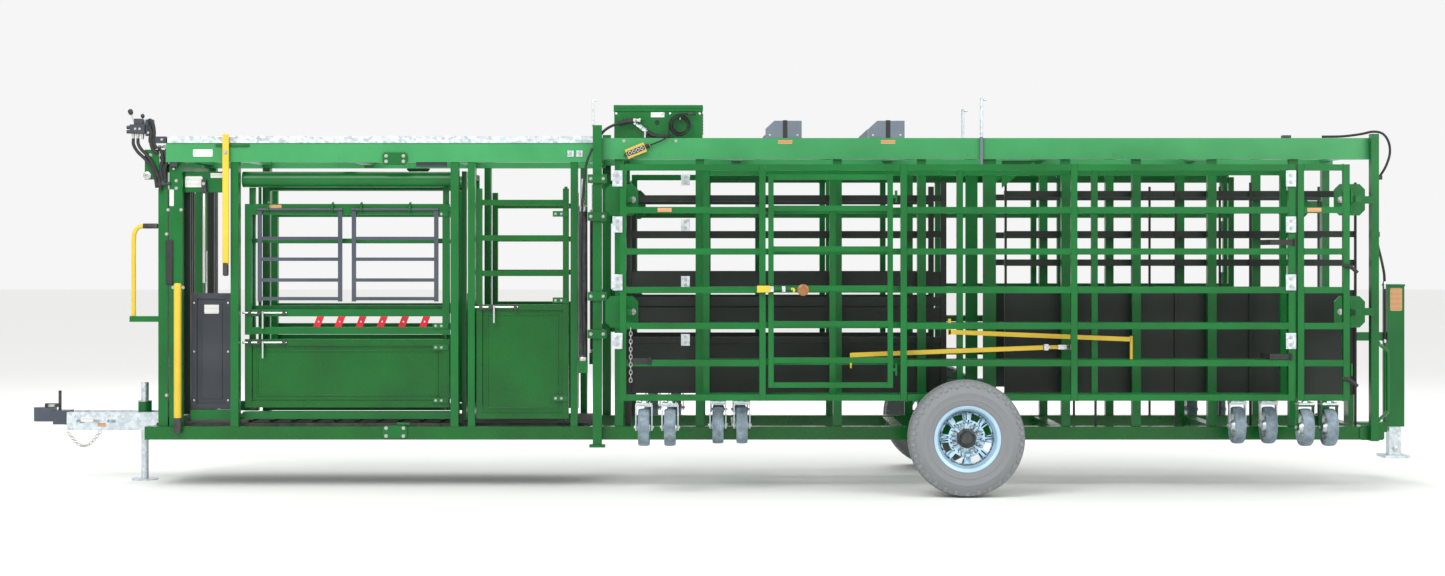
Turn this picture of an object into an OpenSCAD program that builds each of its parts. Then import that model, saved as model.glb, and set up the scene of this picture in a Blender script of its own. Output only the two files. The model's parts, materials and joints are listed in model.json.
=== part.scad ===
// Portable cattle squeeze chute on two wheels, with stowed alley gates.
// Units mm. +X toward the rear jack, -Y near side, +Z up. Origin: centre of the footprint on the ground.

/* [Main frame] */
// front end of the long base beams
base_front_x = -3985; // [-4200:5:-3800]
// rear end of the long base beams
base_rear_x = 4560; // [4300:5:4700]
// underside of the base beams above ground
base_z = 335; // [250:5:450]
// height of the base beams
base_h = 90; // [60:5:140]
// outside half width of the base beams
beam_outer_y = 600; // [560:5:650]
// width of every long beam
beam_w = 100; // [60:5:120]
// underside of the top beams
top_z = 2258; // [2150:5:2350]
// height of the chute top beams
top_h = 132; // [90:2:180]
// height of the alley top beams
alley_top_h = 147; // [90:1:180]
// x where chute and alley sections meet
section_x = -850; // [-900:5:-780]

/* [Wheels] */
// tyre outside diameter
tyre_d = 782; // [700:2:860]
// tyre width
tyre_w = 235; // [180:5:260]
// wheel mid-plane distance from centre
wheel_y = 1150; // [1120:5:1180]
// axle position along the unit
axle_x = 1646; // [1400:2:1900]
// rim lip diameter
rim_d = 445; // [400:1:470]
// bolt circle of the wheel nuts
nut_pcd = 165.1; // [139.7:0.1:170]

/* [Squeeze bay] */
// front edge of the squeeze side
side_front_x = -3314; // [-3340:2:-3280]
// rear edge of the squeeze side
side_rear_x = -1888; // [-1920:2:-1870]
// half width of the bay at the side frames
side_y = 465; // [440:5:480]
// tube size of side frames and doors
tube = 48; // [38:2:60]
// height of the side pivot
pivot_z = 478; // [460:2:500]

/* [Alley gates] */
// distance of the outer gate from centre
gate_y = 1000; // [980:2:1015]
// distance of the folded inner gate from centre
inner_gate_y = 800; // [780:5:850]
// gate tube size
gate_t = 42; // [34:1:50]
// lowest gate rail centre
gate_low = 652; // [600:2:700]
// highest gate rail centre
gate_high = 2205; // [2150:5:2230]
// caster wheel diameter
caster_d = 254; // [200:2:280]
// caster wheel width
caster_w = 90; // [50:2:100]

/* [Jacks] */
// rear jack centre
rear_jack_x = 4842; // [4800:2:4870]
// front jack centre
front_jack_x = -4134; // [-4200:2:-4080]
// rear foot underside when raised
rear_foot_z = 162; // [120:2:220]

/* [Build] */
// sub-part to draw, or all

/* [Hidden] */
$fn = 32;
gap = 0.5;
base_top = base_z + base_h;
alley_top = top_z + 20;
hub_z = tyre_d / 2;
beam_in = beam_outer_y - beam_w;
green = "#3FA35A"; lower_green = "#0A8530"; dark_green = "#1F4A34";
yellow = "#E8C840"; steel = "#5A6070"; charcoal = "#4A4E58";
zinc = "#C9D5DB"; rubber = "#2A2C2F"; black = "#17181A"; red = "#D03545";
gate_rails = [gate_low, 885, 1135, 1378, 1638, 1918, gate_high];

module box(x0, x1, y0, y1, z0, z1) translate([x0, y0, z0]) cube([x1 - x0, y1 - y0, z1 - z0]);
module rod_x(x0, x1, y, z, d) translate([x0, y, z]) rotate([0, 90, 0]) cylinder(h = x1 - x0, d = d);
module rod_y(x, y0, y1, z, d) translate([x, y1, z]) rotate([90, 0, 0]) cylinder(h = y1 - y0, d = d);
module rod_z(x, y, z0, z1, d) translate([x, y, z0]) cylinder(h = z1 - z0, d = d);
module far() mirror([0, 1, 0]) children();
module both() { children(); far() children(); }
// plate in the X-Z plane with cut corners
module cut_plate(x0, x1, z0, z1, y0, y1, c) translate([0, y1, 0]) rotate([90, 0, 0]) linear_extrude(y1 - y0)
    polygon([[x0 + c, z0], [x1 - c, z0], [x1, z0 + c], [x1, z1 - c], [x1 - c, z1], [x0 + c, z1],
        [x0, z1 - c], [x0, z0 + c]]);
// uprights at every xs, rails at every zs in the bays that are not skipped
module ladder(xs, zs, y, t, z0, z1, skip = []) {
    for (x = xs) box(x - t / 2, x + t / 2, y - t / 2, y + t / 2, z0, z1);
    for (i = [0 : len(xs) - 2]) if (len(search(i, skip)) == 0)
        for (z = zs) box(xs[i] + t / 2 + gap, xs[i + 1] - t / 2 - gap, y - t / 2 + 2, y + t / 2 - 2, z - t / 2, z + t / 2);
}
// slanted bar between two points in one vertical plane
module stay(x0, z0, x1, z1, y, w, h) translate([x0, y - w / 2, z0])
    rotate([0, -atan2(z1 - z0, x1 - x0), 0]) translate([0, 0, -h / 2]) cube([norm([x1 - x0, z1 - z0]), w, h]);

module base_frame() color(lower_green) {
    both() box(base_front_x, base_rear_x, -beam_outer_y, -beam_in, base_z, base_top);
    for (x = [-3935, -3380, -2600, -1840, -1000, 120, 1240, 2360, 3480, 4460])
        box(x - 40, x + 40, -beam_in + gap, beam_in - gap, base_z + 6, base_top - 6);
    // pads that carry the wheel stubs
    both() box(axle_x - 110, axle_x + 110, -beam_outer_y - 12.5, -beam_outer_y - gap, base_z - 30, base_top + 20);
}
module drawbar() color(zinc) {
    both() difference() {
        box(-4660, base_front_x - gap, -130, -70, 363, 492);
        for (x = [-4560, -4450, -4340]) hull() for (d = [-18, 18]) rod_y(x + d, -140, -60, 428, 26);
    }
    box(-4655, -4643, -70 + gap, 70 - gap, 370, 485);
    box(-4220, -4190, -70 + gap, 70 - gap, 380, 475);
}
module coupler() color(steel) {
    difference() {
        hull() { rod_z(-4885, 0, 420, 520, 94); box(-4790, -4780, -47, 47, 420, 520); }
        rod_z(-4880, 0, 400, 490, 60);
    }
    box(-4780 + gap, -4660 - gap, -60, 60, 400, 500);
}
module coupler_latch() color(black) {
    box(-4850, -4760, -16, 16, 521, 548);
    rod_z(-4745, 0, 501, 640, 22);
}
module floor_mat() color(charcoal) {
    box(-3930, section_x - 60, -beam_in + 12, beam_in - 12, base_top + gap, base_top + 18);
    for (x = [-3300 : 150 : -1950]) box(x - 12, x + 12, -380, 380, base_top + 18.6, base_top + 30);
}
module chute_posts() color(green) both() {
    for (x = [-3391, -1867]) box(x, x + 54, -beam_outer_y + 6, -beam_in - 6, base_top + gap, top_z - gap);
    for (x = [-1747, -1035]) box(x, x + 48, -beam_outer_y + 6, -beam_in - 6, base_top + gap, top_z - gap);
    // pivot plates of the squeeze linkage, above and below the side
    for (z = [345, 2236]) cut_plate(-2335, -2165, z, z + 88, -614, -beam_outer_y - gap, 14);
}
module chute_top_beam() color(green) {
    both() box(-3838, section_x, -beam_outer_y, -beam_in, top_z, top_z + top_h);
    for (x = [-3790, -3360, -2600, -1840, -900])
        box(x - 40, x + 40, -beam_in + gap, beam_in - gap, top_z + 20, top_z + top_h - 10);
}
module roof_cap() color(zinc) both()
    box(-3826, section_x - 30, -beam_outer_y - 8, -beam_in - 20, top_z + top_h + gap, top_z + top_h + 48);
module headgate_frame() color(green) {
    both() {
        box(-3900, -3834, -560, -502, base_top + gap, 2070);
        box(-3891.5, -3838.5, -556, -520, 2070.5, 2346);
        box(-3824, -3734, -560, -502, base_top + gap, top_z - gap);
        box(-3991, -3892, -572, -560.5, 2138, 2346);
        box(-4100, -3901, -560, -547, 1150, 1190);
        box(-3690, -3410, -500, -440, 466, 536);
        box(-3408, -3397, -500, -436, 537, 2200);
    }
    box(-3846, -3766, -501, 501, 2190, 2250);
    box(-3846, -3766, -495, 495, base_top + 20, base_top + 60);
}
module alley_top_beam() color(green) {
    both() box(section_x + gap, base_rear_x - 20, -beam_outer_y, -beam_in, alley_top, alley_top + alley_top_h);
    for (x = [-700, 120, 1240, 2360, 3480, 4480])
        box(x - 40, x + 40, -beam_in + gap, beam_in - gap, alley_top + 30, alley_top + alley_top_h - 20);
}
module alley_posts() color(green) both() {
    for (x = [-700, -139, 816, 1400, 2400, 2890, 3415, 3980])
        box(x - 30, x + 30, -beam_in - 80, -beam_in - 20, base_top + gap, alley_top - gap);
    box(1825, 1915, -beam_in - 80, -beam_in - 60, base_top + gap, alley_top - gap);
    translate([0, -beam_in - 30, 0]) rotate([90, 0, 0]) linear_extrude(8)
        polygon([[1960, 2270], [2190, 2270], [1960, 2080]]);
    box(4491, 4545, -672, -610, 330, 2450);
    cut_plate(4430, 4600, base_z - 2, base_z + 100, -610 + gap, -601, 12);
}
module alley_wall() {
    color(dark_green) {
        for (x = [-640, 1560]) box(x - 20, x + 20, -492, -452, base_top + gap, 2120);
        for (z = [1020, 1760, 2010]) box(-620 + gap, 1540 - gap, -486, -458, z - 22, z + 22);
        for (z = [[1127, 1246], [1260, 1322], [1378, 1497]]) box(-620 + gap, 1540 - gap, -484, -476, z[0], z[1]);
        box(-620 + gap, 1540 - gap, -478, -466, 650, 997);
        box(1985, 4440, -480, -468, 640, 1370);
        for (x = [1993, 2620, 3180, 3700, 4432]) box(x - 8, x + 8, -496, -480.5, base_top + gap, 2120);
        for (z = [1560, 1760, 2040]) box(1985, 4440, -480, -452, z - 22, z + 22);
    }
}
module alley_wall_near() alley_wall();
module alley_wall_far() far() alley_wall();
module gate_hinges() both() {
    color(green) for (z = [1225, 1993]) {
        cut_plate(-785, -560, z - 108, z + 108, -772, -760, 38);
        cut_plate(4208, 4420, z - 108, z + 108, -772, -760, 38);
        box(-770, -700, -759, -700, z - 30, z + 30);
        box(-640, -600, -971, -773, z - 20, z + 20);
        box(4300, 4340, -975, -773, z - 20, z + 20);
        box(4350, 4486, -759, -640, z - 25, z + 25);
    }
    color(zinc) for (z = [1035, 1430, 1820, 2130]) for (x = [-702, 3850])
        box(x - 22, x + 22, -gate_y - 34, -gate_y - 24, z - 38, z + 38);
}
module long_gate() color(green) {
    ladder([-653, 288, 1240, 2390, 3856], gate_rails, -gate_y, gate_t, gate_low - 21, gate_high + 21, [1]);
    for (z = [gate_low, gate_high]) box(310, 1218, -gate_y - 19, -gate_y + 19, z - 21, z + 21);
}
module long_gate_near() long_gate();
module long_gate_far() far() {
    color(green) ladder([-653, 288, 1240, 2390, 3856], gate_rails, -gate_y, gate_t, gate_low - 21, gate_high + 21);
    inner_gate();
}
module inner_gate() color(green) {
    ladder([-92, 770, 1640, 2560, 3850], [gate_low, 885, 1135, 1378, 1638, 1918, 2180], -inner_gate_y, gate_t, gate_low - 21, 2201);
    for (x = [300, 3300]) for (z = [gate_low, 1918]) box(x, x + 60, -gate_y + 24, -inner_gate_y - 24, z - 15, z + 15);
}
module inner_gate_near() inner_gate();
module fork(x, y) {
    box(x - caster_w / 2 - 14, x + caster_w / 2 + 14, y - 32, y + 32, 592, 604);
    for (s = [-1, 1]) translate([x + s * (caster_w / 2 + 9), y, 0]) box(-4, 4, -26, 26, 430, 591.5);
    rod_z(x, y, 604.5, gate_low - 21.5, 40);
    rod_x(x - 49.5, x + 49.5, y, 452, 20);
}
module caster_forks() color(zinc) both() {
    for (x = [-512, -336]) fork(x, -gate_y);
    for (x = [-13, 151, 3537, 3749]) fork(x, -inner_gate_y);
}
module caster_pair(xs, y) for (x = xs) {
    color(rubber) difference() { rod_x(x - caster_w / 2, x + caster_w / 2, y, 452, caster_d); rod_x(x - 50, x + 50, y, 452, 150); }
    color(zinc) difference() { rod_x(x - caster_w / 2 + 4, x + caster_w / 2 - 4, y, 452, 149); rod_x(x - 50, x + 50, y, 452, 24); }
}
module casters_front() caster_pair([-512, -336], -gate_y);
module casters_mid() caster_pair([-13, 151], -inner_gate_y);
module casters_rear() caster_pair([3537, 3749], -inner_gate_y);
module casters_end() caster_pair([3950, 4110], -gate_y);
module casters_far() far() { casters_front(); casters_mid(); casters_rear(); }

module stay_bars() color(yellow) {
    stay(892, 934, 2200, 985, -880, 24, 30);
    stay(1560, 1090, 2800, 1040, -850, 24, 30);
    box(2210, 2390, -888, -872, 975, 1000);
}
module stub_axles() color(steel) both() {
    rod_y(axle_x, -1140, -beam_outer_y - 13.5, hub_z, 70);
    rod_y(axle_x, -1158, -1140.5, hub_z, 120);
}
module power_box() color(green) {
    box(-734, -122, -558, -330, alley_top + alley_top_h + gap, 2650);
    for (x = [-690, -620, -550]) rod_y(x, -572, -558.5, 2560, 34);
}
module lift_cylinders() color(zinc) both() {
    rod_z(-945, -640, 885, 1944, 56);
    rod_z(-945, -640, 1944.5, 2140, 30);
    box(-975, -915, -672, -601, 800, 884);
    for (z = [1070, 1330, 1880, 2140]) {
        box(-910, -780, -690, -676, z - 30, z + 30);
        for (x = [-895, -809]) box(x, x + 12, -675, -601, z - 30, z + 30);
    }
}
module stowage_hoods() color(zinc) {
    both() for (x = [317, 1030]) translate([0, -beam_in - 5, 0]) rotate([90, 0, 0]) linear_extrude(90)
        polygon([[x, 2426], [x + 250, 2426], [x + 250, 2545], [x + 60, 2545], [x, 2490]]);
    both() for (x = [1810]) rod_z(x, -615, 2200, 2700, 22);
}
module jack_sleeves() color(green) {
    difference() { box(4781, 4903, -61, 61, 385, 1405); box(4796, 4888, -46, 46, 380, 1390); }
    box(4500.5, 4780.5, -60, 60, 345, 415);
    box(4500.5, 4780.5, -40, 40, 1000, 1060);
    box(4500.5, 4540, -60, 60, 416, 999);
    // hydraulic line up the sleeve
    rod_z(4765, -50, 420, 990, 18);
    translate([front_jack_x, 0, 363]) difference() { cylinder(h = 200, d = 96); translate([0, 0, -1]) cylinder(h = 202, d = 60); }
}
// cord swept through points, one ring of flats at each point
function unit(v) = v / norm(v);
function heading(p, i) = unit(p[min(i + 1, len(p) - 1)] - p[max(i - 1, 0)]);
module sweep(p, d, n) polyhedron(
    points = [for (i = [0 : len(p) - 1]) let (t = heading(p, i), u = unit(cross(t, [0, 1, 0])), v = cross(t, u))
        for (k = [0 : n - 1]) p[i] + d / 2 * (cos(360 * k / n) * u + sin(360 * k / n) * v)],
    faces = concat([[for (k = [0 : n - 1]) k]], [[for (k = [n - 1 : -1 : 0]) (len(p) - 1) * n + k]],
        [for (i = [0 : len(p) - 2]) for (k = [0 : n - 1])
            [i * n + k, (i + 1) * n + k, (i + 1) * n + (k + 1) % n, i * n + (k + 1) % n]]));
cord_d = 10;
cord_ends = [[-484.7, -623, 2374.2], [-443.6, -623, 2391], [-353, -616, 2412], [-353, -613.8, 2464]];
function curve(c, t) = pow(1 - t, 3) * c[0] + 3 * pow(1 - t, 2) * t * c[1] + 3 * (1 - t) * t * t * c[2] + t * t * t * c[3];
module pendant_cable() color(black) sweep([for (i = [0 : 9]) curve(cord_ends, i / 9)], cord_d, 10);
module cable_coil() color(black) translate([-275, -597.5, 2514]) rotate([90, 0, 0])
    rotate_extrude() translate([40.5, 0]) square([43, 22]);
module cable_plug() color(black) rod_x(-221, -166, -602.8, 2592, 19);
module pendant() color(yellow) translate([-515, -642, 2362]) rotate([0, -22, 0]) {
    translate([-140, 0, -34]) cube([139, 38, 68]);
    translate([0, 19, 0]) rotate([0, 90, 0]) cylinder(h = 32, d = 26);
}

module at_wheel() translate([axle_x, -wheel_y, hub_z]) rotate([90, 0, 0]) children();
module tyre() color(rubber) at_wheel() rotate_extrude($fn = 96) polygon([[207, -88], [260, -112],
    [320, -tyre_w / 2], [366, -108], [tyre_d / 2, -84], [tyre_d / 2, 84], [366, 108], [320, tyre_w / 2],
    [260, 112], [207, 88]]);
module rim() color(zinc) at_wheel() {
    difference() {
        union() {
            translate([0, 0, -104]) cylinder(h = 208, d = 410, $fn = 64);
            for (z = [-104, 99]) translate([0, 0, z]) cylinder(h = 5, d = rim_d, $fn = 64);
        }
        translate([0, 0, -110]) cylinder(h = 220, d = 386, $fn = 64);
    }
    difference() {
        translate([0, 0, 12]) cylinder(h = 10, d = 385, $fn = 64);
        for (k = [0 : 7]) rotate(k * 45 + 22.5) translate([147, 0, 5]) cylinder(h = 25, d = 42);
    }
    for (k = [0 : 7]) rotate(k * 45) translate([nut_pcd / 2, 0, 22.5]) cylinder(h = 22, d = 22, $fn = 6);
    translate([0, 0, 22.5]) cylinder(h = 58, d = 128);
}
module tyre_near() tyre();
module rim_near() rim();
module tyre_far() far() tyre();
module rim_far() far() rim();
module front_jack_leg() color(zinc) {
    rod_z(front_jack_x, 0, 12, 700, 54);
    rod_z(front_jack_x, 0, 0, 11.5, 190);
}
module rear_jack_leg() color(zinc) {
    box(4799.5, 4884.5, -42.5, 42.5, rear_foot_z + 20, 1300);
    box(4752, 4932, -110, 110, rear_foot_z, rear_foot_z + 19.5);
}
module mid_leg() color(green) {
    box(-877, -815, -672, -610, 305, 2510);
    box(-900, -792, -690, -602, 288, 304.5);
}
module mid_leg_near() mid_leg();
module mid_leg_far() far() mid_leg();
module head_leaf() color(steel) {
    for (y = [-440, -385, -330]) box(-3750, -3706, y, y + 30, 500, 2120);
    for (z = [500, 1250, 2078]) for (y = [-409.5, -354.5]) box(-3748, -3708, y, y + 24, z, z + 42);
}
module head_leaf_near() head_leaf();
module head_leaf_far() far() head_leaf();
module headgate_lever() {
    color(yellow) {
        rod_z(-4078, -530, 1150, 1800, 32);
        rod_x(-4078, -4010.5, -530, 1816, 30);
    }
    color(black) rod_x(-4010, -3908, -530, 1816, 36);
    color(zinc) rod_y(-4078, -513.5, -506, 1170, 24);
}
module squeeze_lever() {
    color(yellow) {
        box(-3438, -3394, -644, -620, 1560, 2451);
        rod_x(-3484, -3438.5, -632, 2432, 10);
        rod_x(-3393.5, -3348, -632, 2432, 10);
    }
    color(black) rod_z(-3416, -632, 1469, 1559, 42);
    color(zinc) rod_y(-3416, -619.5, -610, 2324, 30);
}
module neck_lever() {
    color(yellow) { rod_z(-3748, -634, 490, 1420, 52); rod_y(-3748, -607.5, -561, 1385, 24); }
    color(black) rod_z(-3748, -634, 381, 489.5, 56);
}
module neck_door() color(charcoal) {
    for (x = [-3690, -3452]) box(x, x + 38, -478, -444, 540, 1348);
    for (z = [540, 1310]) box(-3651.5, -3452.5, -476, -446, z, z + 38);
    box(-3651.5, -3452.5, -463, -457, 578.5, 1309.5);
}
module squeeze_side() color(green) {
    rod_x(-3330, -1873, -side_y, 2142, 110);
    for (x = [-3296, -1940]) {
        box(x, x + 40, -425, -385, 530, 2086);
    }
    box(-3330, -1880, -489, -385, 471, 521);
    for (x = [-3344, -1879.5]) rod_x(x, x + 13.5, -side_y, pivot_z, 14);
    for (z = [760, 1230, 1700]) box(-3255, -1941, -420, -392, z, z + 30);
}
module hinge_pins(x, y, zs) color(zinc) for (z = zs) rod_z(x, y, z, z + 13, 22);
module access_gate() color(green) {
    hinge_pins(side_rear_x - 24, -side_y, [1044.5, 1971.5]);
    for (x = [side_front_x, side_rear_x - tube]) box(x, x + tube, -489, -441, 1058, 1971);
    for (z = [1062, 1186, 1895]) box(side_front_x + tube + gap, side_rear_x - tube - gap, -487, -443, z, z + (z > 1800 ? 76 : 49));
}
module kick_door() {
    hinge_pins(side_rear_x - 24, -side_y, [537.5, 1027.5]);
    color(green) {
        for (x = [side_front_x, side_rear_x - tube]) box(x, x + tube, -489, -441, 551, 1027);
        for (z = [551, 981]) box(side_front_x + tube + gap, side_rear_x - tube - gap, -487, -443, z, z + 46);
    }
    color(lower_green) box(side_front_x + tube + gap, side_rear_x - tube - gap, -468, -462, 597.5, 980.5);
}
module squeeze_side_near() squeeze_side();
module squeeze_side_far() far() { squeeze_side(); access_gate(); kick_door(); }
module access_gate_near() access_gate();
module kick_door_near() kick_door();
module needle_bars(x0, x1) color(steel) {
    for (x = [x0, x1 - 30]) box(x, x + 30, -506, -494, 1290, 1920);
    for (z = [1298, 1428, 1573, 1718]) box(x0 + 30.5, x1 - 30.5, -504, -496, z, z + 24);
    rod_x(x0, x1, -500, 1932, 20);
}
module needle_bars_front() needle_bars(-3222, -2632);
module needle_bars_rear() needle_bars(-2566, -1962);
module tail_leaf() {
    color(green) for (y = [-440, -50]) box(-1806, -1774, y, y + 42, 462, 2200);
    color(steel) for (z = [462, 1300, 2158]) box(-1804, -1776, -397.5, -50.5, z, z + 42);
    color(dark_green) box(-1793, -1787, -397.5, -50.5, 504.5, 1299.5);
}
module tail_leaf_near() tail_leaf();
module tail_leaf_far() far() tail_leaf();
module palpation_door() {
    hinge_pins(-1070, -550, [464.5, 2076.5]);
    color(green) {
        for (x = [-1690, -1090]) box(x, x + 40, -570, -530, 478, 2076);
        for (z = [480, 1234, 1470, 1716, 1962]) box(-1649.5, -1090.5, -568, -532, z - 2, z + 36);
    }
    color(lower_green) box(-1649.5, -1090.5, -553, -547, 516.5, 1231.5);
}
module palpation_door_near() palpation_door();
module palpation_door_far() far() palpation_door();
module walk_gate_near() {
    color(green) ladder([345, 1150], [737, 905, 1150, 1390, 1655, 1930, 2140], -gate_y, 36, 719, 2158);
    color(yellow) rod_x(262, 480, -gate_y - 36, 1385, 22);
    color(zinc) for (z = [840, 2010]) rod_z(1190, -gate_y, z - 40, z + 40, 18);
}
module end_gate_near() {
    color(green) ladder([3918, 4226], gate_rails, -gate_y, gate_t, gate_low - 21, gate_high + 21);
    color(zinc) {
        for (z = [840, 2010]) rod_z(4262, -gate_y, z - 40, z + 40, 18);
        for (x = [3950, 4110]) fork(x, -gate_y);
    }
}

base_frame();
drawbar();
coupler();
coupler_latch();
floor_mat();
chute_posts();
chute_top_beam();
roof_cap();
headgate_frame();
alley_top_beam();
alley_posts();
alley_wall_near();
alley_wall_far();
gate_hinges();
long_gate_near();
long_gate_far();
inner_gate_near();
caster_forks();
stay_bars();
stub_axles();
power_box();
lift_cylinders();
stowage_hoods();
jack_sleeves();
pendant();
pendant_cable();
cable_coil();
cable_plug();
tyre_near();
rim_near();
tyre_far();
rim_far();
front_jack_leg();
rear_jack_leg();
mid_leg_near();
mid_leg_far();
head_leaf_near();
head_leaf_far();
headgate_lever();
squeeze_lever();
neck_lever();
neck_door();
squeeze_side_near();
squeeze_side_far();
access_gate_near();
needle_bars_front();
needle_bars_rear();
kick_door_near();
tail_leaf_near();
tail_leaf_far();
palpation_door_near();
palpation_door_far();
walk_gate_near();
end_gate_near();
casters_front();
casters_mid();
casters_rear();
casters_end();
casters_far();
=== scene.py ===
"""Portable cattle squeeze chute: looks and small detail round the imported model.

Every size is in metres in the model's own frame: +X from the coupler toward
the rear jack, +Y to the far side, +Z up.
"""
import json
import logging
import math
from dataclasses import dataclass, field
from enum import Enum
from typing import Dict, List, Optional, Sequence, Tuple, Union

import bmesh
import bpy
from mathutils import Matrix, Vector

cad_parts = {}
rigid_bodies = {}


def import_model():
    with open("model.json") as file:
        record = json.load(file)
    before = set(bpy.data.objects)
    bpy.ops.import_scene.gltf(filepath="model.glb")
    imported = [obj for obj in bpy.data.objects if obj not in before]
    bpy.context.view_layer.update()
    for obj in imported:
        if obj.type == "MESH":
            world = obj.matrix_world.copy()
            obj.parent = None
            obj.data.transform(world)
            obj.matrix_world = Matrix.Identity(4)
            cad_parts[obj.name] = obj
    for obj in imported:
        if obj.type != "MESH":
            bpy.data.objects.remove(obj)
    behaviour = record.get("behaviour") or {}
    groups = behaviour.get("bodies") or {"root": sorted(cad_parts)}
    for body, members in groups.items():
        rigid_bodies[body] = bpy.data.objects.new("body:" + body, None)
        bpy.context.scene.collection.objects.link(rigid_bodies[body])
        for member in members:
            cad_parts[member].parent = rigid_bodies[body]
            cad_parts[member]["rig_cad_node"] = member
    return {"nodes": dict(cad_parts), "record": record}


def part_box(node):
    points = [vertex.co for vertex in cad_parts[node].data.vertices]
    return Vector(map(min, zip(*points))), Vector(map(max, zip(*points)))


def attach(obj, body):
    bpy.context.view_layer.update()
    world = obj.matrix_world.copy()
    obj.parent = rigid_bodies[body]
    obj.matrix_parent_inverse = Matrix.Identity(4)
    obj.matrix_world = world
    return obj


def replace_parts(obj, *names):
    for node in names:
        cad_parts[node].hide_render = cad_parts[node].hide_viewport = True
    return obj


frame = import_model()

LOG = logging.getLogger("chute")
Point = Tuple[float, float, float]
Feed = Union[bpy.types.NodeSocket, float, Sequence[float]]  # what a node input takes
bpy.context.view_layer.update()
PAINT_BEVEL = 0.004  # rolled corner of a welded tube
SIDES = (-1, 1)  # near, far
PRISM_FACES = [
    (0, 1, 2, 3), (7, 6, 5, 4), (0, 4, 5, 1), (1, 5, 6, 2), (2, 6, 7, 3), (3, 7, 4, 0)
]  # four points below, four above
SCREW_HEAD = [(0.008, 0), (0.007, 0.003), (0.003, 0.004)]  # button head, radius and height


class Side(Enum):
    """Which long side of the unit a piece is on."""

    NEAR = -1
    FAR = 1


# ---------------------------------------------------------------- colour and nodes


def linear(hex_code: str) -> Tuple[float, float, float, float]:
    """Turns an sRGB hex colour into linear light.

    Args:
        hex_code: six hex digits with a leading hash.

    Returns:
        Red, green, blue and alpha.
    """
    values = [int(hex_code[i : i + 2], 16) / 255 for i in (1, 3, 5)]
    parts = [v / 12.92 if v <= 0.04045 else ((v + 0.055) / 1.055) ** 2.4 for v in values]
    return (parts[0], parts[1], parts[2], 1.0)


def add_node(
    tree: bpy.types.NodeTree, kind: str, inputs: Optional[Dict] = None, **settings
) -> bpy.types.Node:
    """Adds one node with its settings and links.

    Args:
        tree: the node tree.
        kind: the node's type name.
        inputs: socket name or index to a value, or to another node's socket.
        **settings: attributes of the node itself.

    Returns:
        The new node.
    """
    node = tree.nodes.new(kind)
    for key, value in settings.items():
        setattr(node, key, value)
    for key, value in (inputs or {}).items():
        if isinstance(value, bpy.types.NodeSocket):
            tree.links.new(value, node.inputs[key])
        else:
            node.inputs[key].default_value = value
    return node


def ramp(
    tree: bpy.types.NodeTree, fac: bpy.types.NodeSocket, stops: Sequence[Tuple[float, str]]
) -> bpy.types.NodeSocket:
    """A colour ramp between hex colours.

    Args:
        tree: the node tree.
        fac: what drives the ramp.
        stops: position and hex colour pairs.

    Returns:
        The colour socket.
    """
    node = add_node(tree, "ShaderNodeValToRGB", {"Fac": fac})
    marks = node.color_ramp.elements
    while len(marks) < len(stops):
        marks.new(0.5)
    for mark, (place, hue) in zip(marks, stops):
        mark.position, mark.color = place, linear(hue)
    return node.outputs["Color"]


def blend_colour(
    tree: bpy.types.NodeTree, fac: Feed, first: Feed, second: Feed, mode: str = "MIX"
) -> bpy.types.NodeSocket:
    """Mixes two colours.

    Args:
        tree: the node tree.
        fac: socket or number, how much of the second shows.
        first: socket or colour.
        second: socket or colour.
        mode: Blender's blend mode.

    Returns:
        The mixed colour socket.
    """
    node = add_node(tree, "ShaderNodeMix", {0: fac, 6: first, 7: second}, data_type="RGBA", blend_type=mode)
    return node.outputs[2]


# ---------------------------------------------------------------- finishes


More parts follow.
